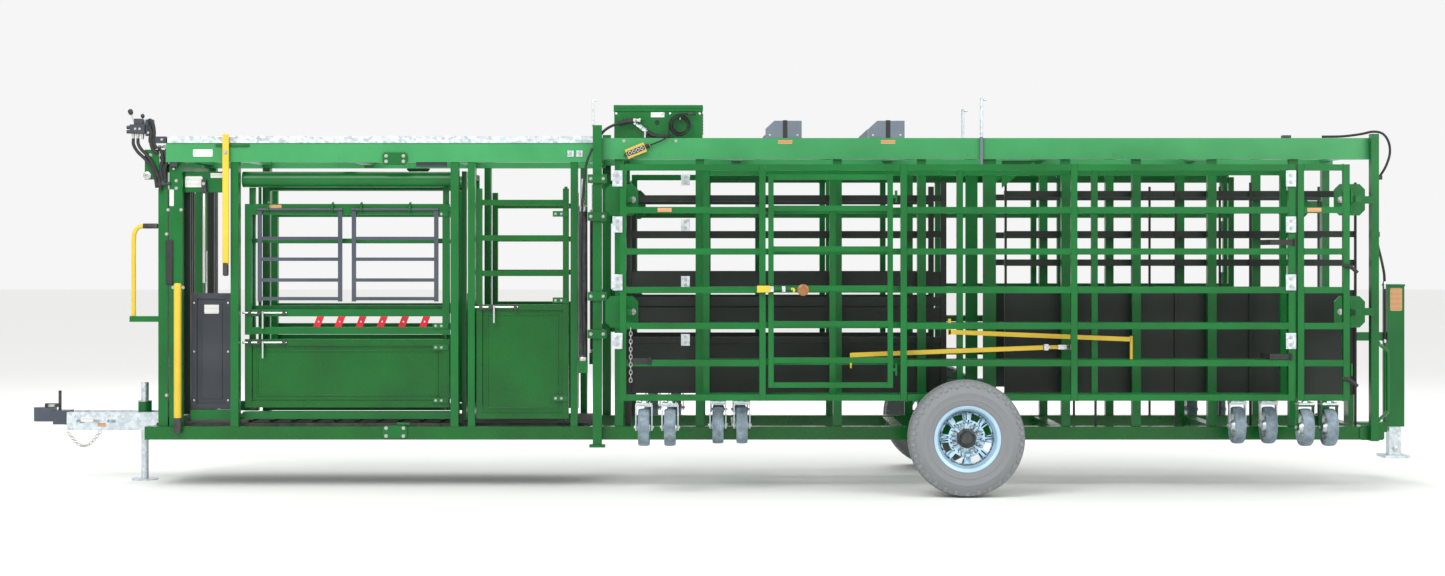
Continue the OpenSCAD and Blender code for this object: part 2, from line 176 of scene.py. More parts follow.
@dataclass(frozen=True)
class Finish:
    """Base of every finish: how it is made, and the record's slot for it where there is one."""

    name: str
    slot: str = ""

    def build(self) -> bpy.types.Material:
        """Makes the material once.

        Returns:
            The material, or the one made before under this name.
        """
        made = bpy.data.materials.get(self.name)
        if made is None:
            made = bpy.data.materials.new(self.name)
            made.use_nodes = True
            made.node_tree.nodes.clear()
            self.wire(made.node_tree)
        return made

    def wire(self, tree: bpy.types.NodeTree) -> None:
        """Builds the nodes; each finish has its own.

        Args:
            tree: the material's node tree.
        """
        raise NotImplementedError

    def place(self, tree: bpy.types.NodeTree) -> bpy.types.NodeSocket:
        """The object's own coordinates in metres."""
        return add_node(tree, "ShaderNodeTexCoord").outputs["Object"]

    def noise(
        self, tree: bpy.types.NodeTree, scale_mm: float, detail: float = 3.0, rough: float = 0.55
    ) -> bpy.types.NodeSocket:
        """Noise whose blotches are about scale_mm across.

        Args:
            tree: the node tree.
            scale_mm: size of one blotch.
            detail: octaves.
            rough: how strong the small octaves are.

        Returns:
            The factor socket.
        """
        sockets = {"Vector": self.place(tree), "Scale": 1000 / scale_mm, "Detail": detail, "Roughness": rough}
        return add_node(tree, "ShaderNodeTexNoise", sockets).outputs["Fac"]

    def spread(
        self, tree: bpy.types.NodeTree, value: Feed, low: float, high: float, out_low: float = 0.0,
        out_high: float = 1.0
    ) -> bpy.types.NodeSocket:
        """Maps a range onto another and clamps it.

        Args:
            tree: the node tree.
            value: socket or number to map.
            low: start of the range that comes in.
            high: its end.
            out_low: start of the range that goes out.
            out_high: its end.

        Returns:
            The mapped socket.
        """
        sockets = {0: value, 1: low, 2: high, 3: out_low, 4: out_high}
        return add_node(tree, "ShaderNodeMapRange", sockets).outputs[0]

    def close(
        self, tree: bpy.types.NodeTree, colour: Feed, roughness: Feed, metallic: float,
        bump: Optional[bpy.types.NodeSocket] = None, strength: float = 0.2, distance: float = 0.001,
        coat: float = 0.0, level: float = 0.5
    ) -> None:
        """Ends the tree with one shader.

        Args:
            tree: the node tree.
            colour: colour socket or value.
            roughness: socket or number.
            metallic: 0 to 1.
            bump: height socket, if any.
            strength: how strong the bump is.
            distance: height of the bump in metres.
            coat: clear layer's weight.
            level: strength of the plain reflection; 0.5 is the usual one.
        """
        sockets = {
            "Base Color": colour, "Roughness": roughness, "Metallic": metallic, "Coat Weight": coat,
            "Coat Roughness": 0.12, "Specular IOR Level": level
        }
        if bump is not None:
            sockets["Normal"] = add_node(
                tree, "ShaderNodeBump", {"Height": bump, "Strength": strength, "Distance": distance}
            ).outputs[0]
        shader = add_node(tree, "ShaderNodeBsdfPrincipled", sockets)
        add_node(tree, "ShaderNodeOutputMaterial", {"Surface": shader.outputs[0]})


@dataclass(frozen=True)
class PowderCoat(Finish):
    """Sprayed powder coat on welded steel: even colour, soft gloss, fine orange peel, and a paler tint on
    upward faces that is partly road dust and partly painted top light.
    """

    body: str = "#006A29"
    deep: str = "#005B21"
    # paler tint laid on upward faces: partly road dust colour, partly painted top light
    dust: str = "#7FA583"
    dust_amount: float = 0.3
    gloss: float = 0.3

    def wire(self, tree: bpy.types.NodeTree) -> None:
        """Colour drift, a paler tint on upward faces (part road dust, part painted top light), chips down to
        primer.

        Args:
            tree: the material's node tree.
        """
        drift = ramp(tree, self.noise(tree, 420), [(0.3, self.deep), (0.7, self.body)])
        # upward faces take the paler tint in patches: partly road dust, partly painted top light
        up = add_node(
            tree, "ShaderNodeSeparateXYZ", {0: add_node(tree, "ShaderNodeNewGeometry").outputs["Normal"]}
        ).outputs[2]
        facing_up = self.spread(tree, up, 0.55, 1.0, 0.0, self.dust_amount)
        patchy = self.spread(tree, self.noise(tree, 60, 5), 0.35, 0.7)
        dust_and_top_light = add_node(tree, "ShaderNodeMath", {0: facing_up, 1: patchy}, operation="MULTIPLY").outputs[0]
        colour = blend_colour(tree, dust_and_top_light, drift, linear(self.dust))
        # chips are 3 to 8 mm on the real coat; only the top few percent of a 24 mm noise shows as one
        chip = self.spread(tree, self.noise(tree, 24, 6, 0.7), 0.74, 0.77)
        colour = blend_colour(tree, chip, colour, linear("#3A4038"))
        rough = self.spread(tree, self.noise(tree, 150, 4), 0.2, 0.8, self.gloss - 0.06, self.gloss + 0.12)
        # orange peel is 2 mm on the real coat and is drawn at 5 mm so that it shows
        self.close(tree, colour, rough, 0.0, self.noise(tree, 5, 2), 0.12, 0.0004, coat=0.08, level=0.35)


@dataclass(frozen=True)
class HotDip(Finish):
    """Hot-dip galvanised steel: bright grey with crystal spangle 15 to 25 mm across."""

    light: str = "#DCE4E8"
    dark: str = "#B9C4CA"
    grime: str = "#7B7468"

    def wire(self, tree: bpy.types.NodeTree) -> None:
        """Spangle cells, faint streaks and a little grime.

        Args:
            tree: the material's node tree.
        """
        cells = add_node(tree, "ShaderNodeTexVoronoi", {"Vector": self.place(tree), "Scale": 1000 / 20})
        tone = add_node(tree, "ShaderNodeSeparateColor", {0: cells.outputs["Color"]}).outputs[0]
        colour = ramp(tree, tone, [(0.0, self.dark), (1.0, self.light)])
        stain = self.spread(tree, self.noise(tree, 90, 6, 0.65), 0.6, 0.85, 0.0, 0.45)
        colour = blend_colour(tree, stain, colour, linear(self.grime))
        rough = self.spread(tree, tone, 0.0, 1.0, 0.28, 0.5)
        self.close(tree, colour, rough, 0.8, tone, 0.08, 0.0003)


@dataclass(frozen=True)
class Rubber(Finish):
    """Vulcanised rubber: matt, with dried mud in blotches."""

    body: str = "#33363A"
    dust: str = "#8C9092"
    dust_amount: float = 0.5
    grain_mm: float = 40.0

    def wire(self, tree: bpy.types.NodeTree) -> None:
        """Dust in blotches and fine grain.

        Args:
            tree: the material's node tree.
        """
        blot = self.spread(
            tree, self.noise(tree, self.grain_mm * 2, 6, 0.65), 0.35, 0.75, 0.0, self.dust_amount
        )
        fine = self.spread(tree, self.noise(tree, self.grain_mm / 5, 4), 0.3, 0.8, 0.4, 1.0)
        amount = add_node(tree, "ShaderNodeMath", {0: blot, 1: fine}, operation="MULTIPLY").outputs[0]
        colour = blend_colour(tree, amount, linear(self.body), linear(self.dust))
        self.close(tree, colour, self.spread(tree, amount, 0.0, 0.6, 0.62, 0.92), 0.0, fine, 0.25, 0.0008)


@dataclass(frozen=True)
class Moulded(Finish):
    """Injection-moulded plastic: one colour, fine spark-eroded grain, slightly polished by hands."""

    body: str = "#1B1C1E"
    roughness: float = 0.45

    def wire(self, tree: bpy.types.NodeTree) -> None:
        """Grain bump and faint polish.

        Args:
            tree: the material's node tree.
        """
        tone = self.noise(tree, 50, 3)
        colour = blend_colour(
            tree, self.spread(tree, tone, 0.3, 0.8, 0.0, 0.12), linear(self.body), linear("#B8B8B0")
        )
        rough = self.spread(tree, tone, 0.3, 0.7, self.roughness - 0.08, self.roughness + 0.1)
        self.close(tree, colour, rough, 0.0, self.noise(tree, 2.5, 2), 0.2, 0.0003)


@dataclass(frozen=True)
class BarePlate(Finish):
    """Machined or zinc-plated steel: bright metal with fine directional scratches."""

    tint: str = "#C9CBC8"
    roughness: float = 0.28

    def wire(self, tree: bpy.types.NodeTree) -> None:
        """Brushed lines made by noise stretched along X.

        Args:
            tree: the material's node tree.
        """
        flat = add_node(tree, "ShaderNodeMapping", {"Vector": self.place(tree), "Scale": (4.0, 60.0, 60.0)})
        lines = add_node(
            tree, "ShaderNodeTexNoise", {"Vector": flat.outputs[0], "Scale": 12.0, "Detail": 4.0}
        ).outputs["Fac"]
        colour = blend_colour(
            tree, self.spread(tree, lines, 0.4, 0.7, 0.0, 0.4), linear(self.tint), linear("#6C6A66")
        )
        self.close(
            tree, colour, self.spread(tree, lines, 0.3, 0.7, self.roughness, self.roughness + 0.2), 1.0,
            lines, 0.1, 0.0002
        )


@dataclass(frozen=True)
class PressedFloor(Finish):
    """Dark ribbed livestock floor: worn paint over pressed plate, dirt in blotches."""

    def wire(self, tree: bpy.types.NodeTree) -> None:
        """Dirt, scuffs and a raised diamond tread 40 mm apart.

        Args:
            tree: the material's node tree.
        """
        wave = add_node(
            tree, "ShaderNodeTexChecker", {"Vector": self.place(tree), "Scale": 25.0}
        ).outputs["Fac"]
        dirt = self.noise(tree, 120, 6, 0.7)
        colour = ramp(tree, dirt, [(0.3, "#24282A"), (0.6, "#4B4A44"), (0.8, "#6E675A")])
        self.close(tree, colour, 0.78, 0.2, wave, 0.35, 0.002)


@dataclass(frozen=True)
class Decal(Finish):
    """Printed vinyl label with no lettering: pale ground with plain rule lines."""

    ground: str = "#E9EAE4"
    ink: str = "#9A9C98"

    def wire(self, tree: bpy.types.NodeTree) -> None:
        """Lines 9 mm apart across the label's height.

        Args:
            tree: the material's node tree.
        """
        flat = add_node(tree, "ShaderNodeSeparateXYZ", {0: self.place(tree)}).outputs[2]
        step = add_node(tree, "ShaderNodeMath", {0: flat, 1: 1000 / 9}, operation="MULTIPLY").outputs[0]
        saw = add_node(tree, "ShaderNodeMath", {0: step}, operation="FRACT").outputs[0]
        line = self.spread(tree, saw, 0.62, 0.66)
        self.close(
            tree, blend_colour(tree, line, linear(self.ground), linear(self.ink)), 0.4, 0.0,
            self.noise(tree, 8), 0.05, 0.0002
        )


GREEN = PowderCoat("powder_coat_green", "green_paint")
# Darker copy of the same green paint for the low frame and doors: painted shade of the lower parts.
SHADED_LOWER_GREEN = PowderCoat("powder_coat_lower", "lower_green_paint", body="#00611C", deep="#005017", gloss=0.24)
# Near-black copy of the green paint for the alley side and head leaves: painted shade, as they stand in
# shadow behind the near rails.
SHADE_GREEN = PowderCoat(
    "powder_coat_alley", "shaded_green_paint", body="#1C261F", deep="#151C18", dust="#5E5B4C", gloss=0.42
)
# Lighter copy of the same green paint, with a paler tint, for the top beams: painted light where the sky
# falls on them.
LIT_BEAM_GREEN = PowderCoat("powder_coat_beam", "green_paint", body="#3E975A", deep="#338A4F", dust="#8FB596")
HOOD = PowderCoat("powder_coat_hood", body="#727E88", deep="#626E78", dust="#98A0A4", gloss=0.4)
YELLOW = PowderCoat(
    "powder_coat_yellow", "yellow_paint", body="#DDBF3F", deep="#CDAE30", dust="#D8CFA8", gloss=0.3
)
GREY = PowderCoat(
    "powder_coat_grey", "grey_steel", body="#4A515C", deep="#3B414B", dust="#9A9E9C", gloss=0.35
)
CHARCOAL = PowderCoat(
    "powder_coat_charcoal", "charcoal_paint", body="#3C4148", deep="#2C3036", dust="#8A8C8A", gloss=0.42
)
RED = PowderCoat("powder_coat_red", body="#D3202E", deep="#A81420", dust="#C89A90")
ZINC = HotDip("hot_dip_zinc", "galvanised")
WHEEL_PAINT = PowderCoat(
    "wheel_enamel", "galvanised", body="#B4D2E4", deep="#9DBDD0", dust="#8E8E88", dust_amount=0.5, gloss=0.3
)
TYRE = Rubber("tyre_rubber", "tyre_rubber", body="#262C34", dust="#7C8C99", dust_amount=0.62, grain_mm=70)
CASTER = Rubber("caster_tyre", "caster_rubber", body="#5C6B76", dust="#AEC0CB", dust_amount=0.85, grain_mm=25)
CORD = Rubber("cord_sheath", "black_rubber", body="#101112", dust="#3A3A3A", dust_amount=0.25, grain_mm=12)
STRAP = Rubber("strap_rubber", "black_rubber", body="#1A1B1C", dust="#5A5A58", dust_amount=0.3, grain_mm=15)
BLACK = Moulded("moulded_black", "black_plastic")
PENDANT = Moulded("moulded_yellow", "yellow_plastic", body="#C9A93A", roughness=0.4)
AMBER = Moulded("moulded_amber", body="#8F5A20", roughness=0.25)
STEEL = BarePlate("zinc_plated_steel", "galvanised")
CHROME = BarePlate("ground_chrome_rod", tint="#E6E9EA", roughness=0.1)
FLOOR = PressedFloor("ribbed_floor", "charcoal_paint")
LABEL = Decal("vinyl_label_white")
TAN_LABEL = Decal("vinyl_label_tan", ground="#D9A673", ink="#8A5A34")


# ---------------------------------------------------------------- mesh building


@dataclass
class Mould:
    """Collects faces for one piece and turns them into an object."""

    name: str
    finish: Finish
    body: str
    bevel: float = 0.0
    smooth: bool = True
    verts: List[Vector] = field(default_factory=list)
    faces: List[Tuple[int, ...]] = field(default_factory=list)

    def add(self, points: Sequence[Sequence[float]], faces: Sequence[Sequence[int]]) -> None:
        """Adds points and the faces between them.

        Args:
            points: the new points.
            faces: rings of indices into those points.
        """
        start = len(self.verts)
        self.verts.extend(Vector(p) for p in points)
        self.faces.extend(tuple(start + i for i in f) for f in faces)

    def block(self, low: Point, high: Point) -> "Mould":
        """A box between two corners.

        Args:
            low: corner with the smallest x, y and z.
            high: the opposite corner.

        Returns:
            This mould.
        """
        (a, b, c), (d, e, f) = low, high
        points = [(a, b, c), (d, b, c), (d, e, c), (a, e, c), (a, b, f), (d, b, f), (d, e, f), (a, e, f)]
        self.add(points, [(3, 2, 1, 0), (4, 5, 6, 7), (0, 1, 5, 4), (1, 2, 6, 5), (2, 3, 7, 6), (3, 0, 4, 7)])
        return self

    def slab(self, first: Sequence[Point], second: Sequence[Point]) -> "Mould":
        """A flat shape between two equal outlines.

        Args:
            first: one face's outline.
            second: the other face's, point for point.

        Returns:
            This mould.
        """
        n = len(first)
        sides = [(k, (k + 1) % n, n + (k + 1) % n, n + k) for k in range(n)]
        self.add([*first, *second], sides + [tuple(range(n)), tuple(range(2 * n - 1, n - 1, -1))])
        return self

    def lathe(
        self, centre: Point, axis: Point, profile: Sequence[Tuple[float, float]], segments: int = 24
    ) -> "Mould":
        """Turns a profile of (radius, distance along the axis) round an axis.

        Args:
            centre: where distance is 0.
            axis: direction of the axis.
            profile: the outline; a radius of 0 closes an end.
            segments: facets round.

        Returns:
            This mould.
        """
        turn = Vector(axis).to_track_quat("Z", "Y").to_matrix()
        points, faces, last = [], [], len(profile) - 1
        for radius, along in profile:
            for k in range(segments):
                angle = math.tau * k / segments
                points.append(
                    turn @ Vector(
                        (radius * math.cos(angle), radius * math.sin(angle), along)
                    ) + Vector(centre)
                )
        for i in range(last):
            for k in range(segments):
                n = (k + 1) % segments
                faces.append(
                    (i * segments + k, i * segments + n, (i + 1) * segments + n, (i + 1) * segments + k)
                )
        if profile[0] != profile[-1]:
            faces.append(tuple(reversed(range(segments))))
            faces.append(tuple(last * segments + k for k in range(segments)))
        self.add(points, faces)
        return self

    def rod(
        self, start: Point, end: Point, radius: float, segments: int = 16, round_end: float = 0.0
    ) -> "Mould":
        """A round bar with softened ends.

        Args:
            start: middle of the first end.
            end: middle of the other end.
            radius: the bar's radius.
            segments: facets round.
            round_end: how far each edge is broken; 0 takes a fifth of the radius.

        Returns:
            This mould.
        """
        axis = Vector(end) - Vector(start)
        edge = round_end or min(radius * 0.2, axis.length * 0.2)
        profile = [
            (radius - edge, 0), (radius, edge), (radius, axis.length - edge), (radius - edge, axis.length)
        ]
        return self.lathe(start, axis, profile, segments)

    def bolt(self, at: Point, axis: Point, size: float) -> "Mould":
        """A hex head with washer.

        Args:
            at: where the washer sits.
            axis: which way the head points.
            size: the thread in metres.

        Returns:
            This mould.
        """
        self.lathe(at, axis, [(size * 1.15, 0), (size * 1.15, size * 0.18)], 20)
        top = Vector(at) + Vector(axis).normalized() * size * 0.18
        return self.lathe(
            top, axis, [(size * 0.92, 0), (size * 0.92, size * 0.5), (size * 0.76, size * 0.66)], 6
        )

    def sweep(self, points: Sequence[Point], radius: float, segments: int = 10) -> "Mould":
        """A round bar along a smooth line of points.

        Args:
            points: places that the line goes through.
            radius: the bar's radius.
            segments: facets round.

        Returns:
            This mould.
        """
        line = smooth_line(points)
        before = Vector((0, 0, 1)) if abs((line[1] - line[0]).normalized().z) < 0.9 else Vector((1, 0, 0))
        rings: List[Vector] = []
        for i, centre in enumerate(line):
            along = (line[min(i + 1, len(line) - 1)] - line[max(i - 1, 0)]).normalized()
            across = (before - along * before.dot(along)).normalized()
            before = across
            up = along.cross(across)
            for k in range(segments):
                angle = math.tau * k / segments
                rings.append(centre + radius * (math.cos(angle) * across + math.sin(angle) * up))
        faces = [
            (
                i * segments + k, i * segments + (k + 1) % segments, (i + 1) * segments + (k + 1) % segments,
                (i + 1) * segments + k
            )
            for i in range(len(line) - 1)
            for k in range(segments)
        ]
        faces += [
            tuple(reversed(range(segments))), tuple((len(line) - 1) * segments + k for k in range(segments))
        ]
        self.add(rings, faces)
        return self

    def make(self) -> bpy.types.Object:
        """Makes the object, dresses it and sets what it rides on.

        Returns:
            The finished object.
        """
        mesh = bpy.data.meshes.new(self.name)
        mesh.from_pydata([tuple(v) for v in self.verts], [], self.faces)
        mesh.validate()
        shell = bmesh.new()
        shell.from_mesh(mesh)
        bmesh.ops.recalc_face_normals(shell, faces=shell.faces)
        shell.to_mesh(mesh)
        shell.free()
        piece = bpy.data.objects.new(self.name, mesh)
        bpy.context.scene.collection.objects.link(piece)
        dress(piece, self.finish, self.bevel, self.smooth)
        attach(piece, self.body)
        LOG.info("%s rides on %s, %d faces", self.name, self.body, len(self.faces))
        return piece


def smooth_line(points: Sequence[Point], steps: int = 6) -> List[Vector]:
    """Catmull-Rom line through points.

    Args:
        points: at least two places.
        steps: new points in each stretch.

    Returns:
        The points of the line.
    """
    p = [Vector(q) for q in points]
    if len(p) == 2:
        return p
    p = [2 * p[0] - p[1]] + p + [2 * p[-1] - p[-2]]
    line = []
    for i in range(1, len(p) - 2):
        for s in range(steps):
            t = s / steps
            a, b, c, d = p[i - 1], p[i], p[i + 1], p[i + 2]
            line.append(
                0.5 * (
                    2 * b + (c - a) * t + (2 * a - 5 * b + 4 * c - d) * t * t + (3 * b - a - 3 * c + d) * t**3
                )
            )
    return line + [p[-2]]


def dress(piece: bpy.types.Object, finish: Finish, bevel: float = 0.0, smooth: bool = True) -> None:
    """Gives a piece its material and softened edges.

    Args:
        piece: the object.
        finish: what it is finished in.
        bevel: edge radius in metres.
        smooth: whether faces shade smoothly up to 40 degrees.
    """
    piece.data.materials.clear()
    piece.data.materials.append(finish.build())
    if bevel:
        edge = piece.modifiers.new("edge_radius", "BEVEL")
        edge.width, edge.segments, edge.limit_method = bevel, 2, "ANGLE"
        edge.angle_limit, edge.harden_normals = math.radians(50), False
        edge.use_clamp_overlap = True
    if smooth and "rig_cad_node" not in piece:
        for face in piece.data.polygons:
            face.use_smooth = True
        piece.data.set_sharp_from_angle(angle=math.radians(40))


# ---------------------------------------------------------------- stage


@dataclass
class Studio:
    """Pale floor, soft lights and the camera."""

    distance: float = 16.35
    eye_height: float = 1.614
    aim_x: float = 0.018
    lens: float = 56.65
    shift_y: float = -0.0228

    def build(self) -> None:
        """Makes the camera first, then the lights and the floor."""
        data = bpy.data.cameras.new("camera")
        data.lens, data.sensor_width, data.shift_y = self.lens, 36.0, self.shift_y
        data.clip_end = 400
        camera = bpy.data.objects.new("camera", data)
        camera.location = (self.aim_x, -self.distance, self.eye_height)
        camera.rotation_euler = (math.radians(90), 0, 0)
        bpy.context.scene.collection.objects.link(camera)
        bpy.context.scene.camera = camera
        self.lights()
        self.floor()

    def lights(self) -> None:
        """A pale sky and three soft panels."""
        world = bpy.data.worlds.new("studio")
        world.use_nodes = True
        world.node_tree.nodes["Background"].inputs[0].default_value = (1.0, 1.0, 1.0, 1)
        world.node_tree.nodes["Background"].inputs[1].default_value = 0.92
        bpy.context.scene.world = world
        bpy.context.scene.view_settings.view_transform = "Standard"
        for name, place, power, size in (
            ("key", (-5.0, -9.0, 9.0), 900.0, 7.0),
            ("fill", (8.0, -8.0, 6.0), 420.0, 7.0),
            ("back", (0.0, 9.0, 8.0), 500.0, 8.0),
        ):
            data = bpy.data.lights.new(name, "AREA")
            data.energy, data.size = power, size
            lamp = bpy.data.objects.new(name, data)
            lamp.location = place
            lamp.rotation_euler = (Vector((0, 0, 1)) - Vector(place)).to_track_quat("-Z", "Y").to_euler()
            bpy.context.scene.collection.objects.link(lamp)

    def floor(self) -> None:
        """A wide pale floor."""
        mesh = bpy.data.meshes.new("floor")
        mesh.from_pydata([(-90, -90, 0), (90, -90, 0), (90, 90, 0), (-90, 90, 0)], [], [(0, 1, 2, 3)])
        floor = bpy.data.objects.new("floor", mesh)
        bpy.context.scene.collection.objects.link(floor)
        paper = bpy.data.materials.new("studio_paper")
        paper.use_nodes = True
        shader = paper.node_tree.nodes["Principled BSDF"]
        shader.inputs["Base Color"].default_value = linear("#F4F4F2")
        shader.inputs["Roughness"].default_value = 0.9
        mesh.materials.append(paper)


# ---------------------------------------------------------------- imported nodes


@dataclass
class PackedParts:
    """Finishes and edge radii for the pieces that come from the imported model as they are."""

    finishes: Dict[str, Finish] = field(
        default_factory=lambda: {
            "green_paint": GREEN,
            "lower_green_paint": SHADED_LOWER_GREEN,
            "shaded_green_paint": SHADE_GREEN,
            "galvanised": ZINC,
            "grey_steel": GREY,
            "charcoal_paint": CHARCOAL,
            "yellow_paint": YELLOW,
            "caster_rubber": CASTER,
            "tyre_rubber": TYRE,
            "black_plastic": BLACK,
            "black_rubber": CORD,
            "yellow_plastic": PENDANT,
        }
    )
    special: Dict[str, Tuple[Finish, float]] = field(
        default_factory=lambda: {
            "floor_mat": (FLOOR, 0.002),
            "base_frame": (SHADED_LOWER_GREEN, 0.006),
            "alley_top_beam": (LIT_BEAM_GREEN, 0.007),
            "chute_top_beam": (LIT_BEAM_GREEN, 0.007),
            "long_gate_near": (GREEN, 0.01),
            "long_gate_far": (GREEN, 0.01),
            "inner_gate_near": (GREEN, 0.01),
            "end_gate_near": (GREEN, 0.01),
            "walk_gate_near": (GREEN, 0.008),
            "front_jack_leg": (ZINC, 0.001),
            "stowage_hoods": (HOOD, 0.006),
            "lift_cylinders": (GREEN, 0.002),
            "needle_bars_front": (GREY, 0.003),
            "needle_bars_rear": (GREY, 0.003),
            "head_leaf_near": (SHADE_GREEN, 0.006),
            "head_leaf_far": (SHADE_GREEN, 0.006),
            "squeeze_side_near": (GREEN, 0.006),
            "squeeze_side_far": (GREEN, 0.006),
            "kick_door_near": (SHADED_LOWER_GREEN, 0.006),
        }
    )

    def build(self) -> None:
        """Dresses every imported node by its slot, or by name where it has its own finish."""
        slots = {row["node"]: row["material_slot"] for row in frame["record"]["subparts"]}
        for name, node in frame["nodes"].items():
            finish, edge = self.special.get(name, (self.finishes[slots[name]], PAINT_BEVEL))
            dress(node, finish, edge)


# ---------------------------------------------------------------- cord and handset


@dataclass
class HandsetCord:
    """Control cord from the handset's strain relief, hung in a coil on the power box, to its plug."""

    diameter: float = 0.010
    start: Point = (-0.4847, -0.623, 2.3742)
    leave: Point = (-0.4436, -0.623, 2.391)
    rise: Point = (-0.353, -0.616, 2.412)
    join: Point = (-0.353, -0.6138, 2.464)
    coil_centre: Tuple[float, float] = (-0.275, 2.514)
    outer: float = 0.078
    inner: float = 0.046
    turns: float = 4.25
    layer: float = 0.011
    plug_x: float = -0.221

    def route(self) -> List[Vector]:
        """A rise, a flat spiral in, a second one out behind it, and a run into the plug.

        Returns:
            The points of the cord's centreline.
        """
        a, b, c, d = (Vector(p) for p in (self.start, self.leave, self.rise, self.join))
        line = []
        for i in range(13):
            t = i / 12
            line.append((1 - t) ** 3 * a + 3 * (1 - t) ** 2 * t * b + 3 * (1 - t) * t * t * c + t**3 * d)
        cx, cz = self.coil_centre
        line.append(Vector((d.x, d.y, (d.z + cz) / 2)))
        steps = int(self.turns * 24)
        half = self.turns / 2
        for i in range(steps + 1):
            turned = i / 24
            angle = math.pi - math.tau * turned
            radius = self.inner + (self.outer - self.inner) * abs(turned - half) / half
            back = min(max((turned - half) / 0.5 + 0.5, 0.0), 1.0)
            depth = d.y + self.layer * back * back * (3 - 2 * back)
            line.append(Vector((cx + radius * math.cos(angle), depth, cz + radius * math.sin(angle))))
        last = line[-1]
        line.append(Vector(((last.x + self.plug_x) / 2, last.y, last.z)))
        line.append(Vector((self.plug_x, last.y, last.z)))
        return line

    def build(self) -> None:
        """Makes the cord as one curve and the plug that ends it."""
        line = self.route()
        data = bpy.data.curves.new("handset_cord", "CURVE")
        data.dimensions, data.bevel_depth, data.bevel_resolution = "3D", self.diameter / 2, 4
        spline = data.splines.new("POLY")
        spline.points.add(len(line) - 1)
        for point, place in zip(spline.points, line):
            point.co = (*place, 1)
        data.materials.append(CORD.build())
        cord = bpy.data.objects.new("handset_cord", data)
        bpy.context.scene.collection.objects.link(cord)
        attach(cord, "frame")
        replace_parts(cord, "pendant_cable", "cable_coil")
        end = line[-1]
        plug = Mould("cord_plug", BLACK, "frame")
        outline = [
            (0.0058, 0), (0.0095, 0.004), (0.0095, 0.022), (0.0085, 0.024), (0.0095, 0.026), (0.0095, 0.052),
            (0.008, 0.055)
        ]
        piece = plug.lathe(tuple(end), (1, 0, 0), outline, 20).make()
        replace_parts(piece, "cable_plug")
        hook = Mould("coil_hook", STEEL, "frame")
        x, z = self.coil_centre
        hook.sweep(
            [(x, -0.5575, z + 0.034), (x, -0.600, z + 0.034), (x, -0.622, z + 0.036), (x, -0.627, z + 0.050)],
            0.004, 8
        )
        hook.make()


@dataclass
class Handset:
    """Buttons, bezel and hook of the hand control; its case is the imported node."""

    angle: float = math.radians(22)
    corner: Point = (-0.515, -0.642, 2.362)

    def along(self, x: float, z: float) -> Tuple[float, float]:
        """Turns the handset's own x and z into the model's.

        Args:
            x: distance along the case from its lower corner.
            z: distance across the case.

        Returns:
            The model's x and z.
        """
        c, s = math.cos(self.angle), math.sin(self.angle)
        return self.corner[0] + x * c - z * s, self.corner[2] + x * s + z * c

    def build(self) -> None:
        """Dark face with four bright-ringed buttons, the relief's ribs and a hanging loop."""
        y = self.corner[1]
        face = Mould("handset_face", BLACK, "frame", 0.002)
        outline = [
            (-0.136, -0.014), (-0.128, -0.017), (-0.012, -0.017), (-0.005, -0.010), (-0.005, 0.010),
            (-0.012, 0.017), (-0.128, 0.017), (-0.136, 0.014)
        ]
        corners = [self.along(x, z) for x, z in outline]
        face.slab([(x, y + 0.001, z) for x, z in corners], [(x, y - 0.003, z) for x, z in corners])
        face.make()
        rings = Mould("handset_bezels", CHROME, "frame")
        caps = Mould("handset_buttons", BLACK, "frame")
        for i in range(4):
            x, z = self.along(-0.114 + i * 0.029, 0)
            rings.lathe(
                (x, y - 0.003, z), (0, -1, 0),
                [(0.0135, 0), (0.0125, 0.003), (0.0085, 0.0035), (0.0085, 0.001)], 24
            )
            caps.lathe(
                (x, y - 0.0035, z), (0, -1, 0),
                [(0.0084, 0), (0.0082, 0.003), (0.006, 0.0045), (0.001, 0.0048)], 24
            )
        rings.make()
        caps.make()
        relief = Mould("handset_relief", STRAP, "frame")
        foot, tip = self.along(0.0, 0.0), self.along(0.0325, 0.0)
        along = (tip[0] - foot[0], 0, tip[1] - foot[1])
        ribs = [(0.0134, 0.0)]
        for k in range(5):
            ribs += [(0.0138, 0.002 + k * 0.006), (0.0138, 0.005 + k * 0.006), (0.0132, 0.0062 + k * 0.006)]
        relief.lathe((foot[0], y + 0.019, foot[1]), along, ribs + [(0.0090, 0.0326)], 24).make()
        loop = Mould("handset_loop", STRAP, "frame")
        hook = [self.along(-0.139 - 0.020 * math.sin(math.pi * k / 6), -0.012 + 0.004 * k) for k in range(7)]
        loop.sweep([(x, y + 0.019, z) for x, z in hook], 0.0035, 8)
        loop.make()


# ---------------------------------------------------------------- running gear


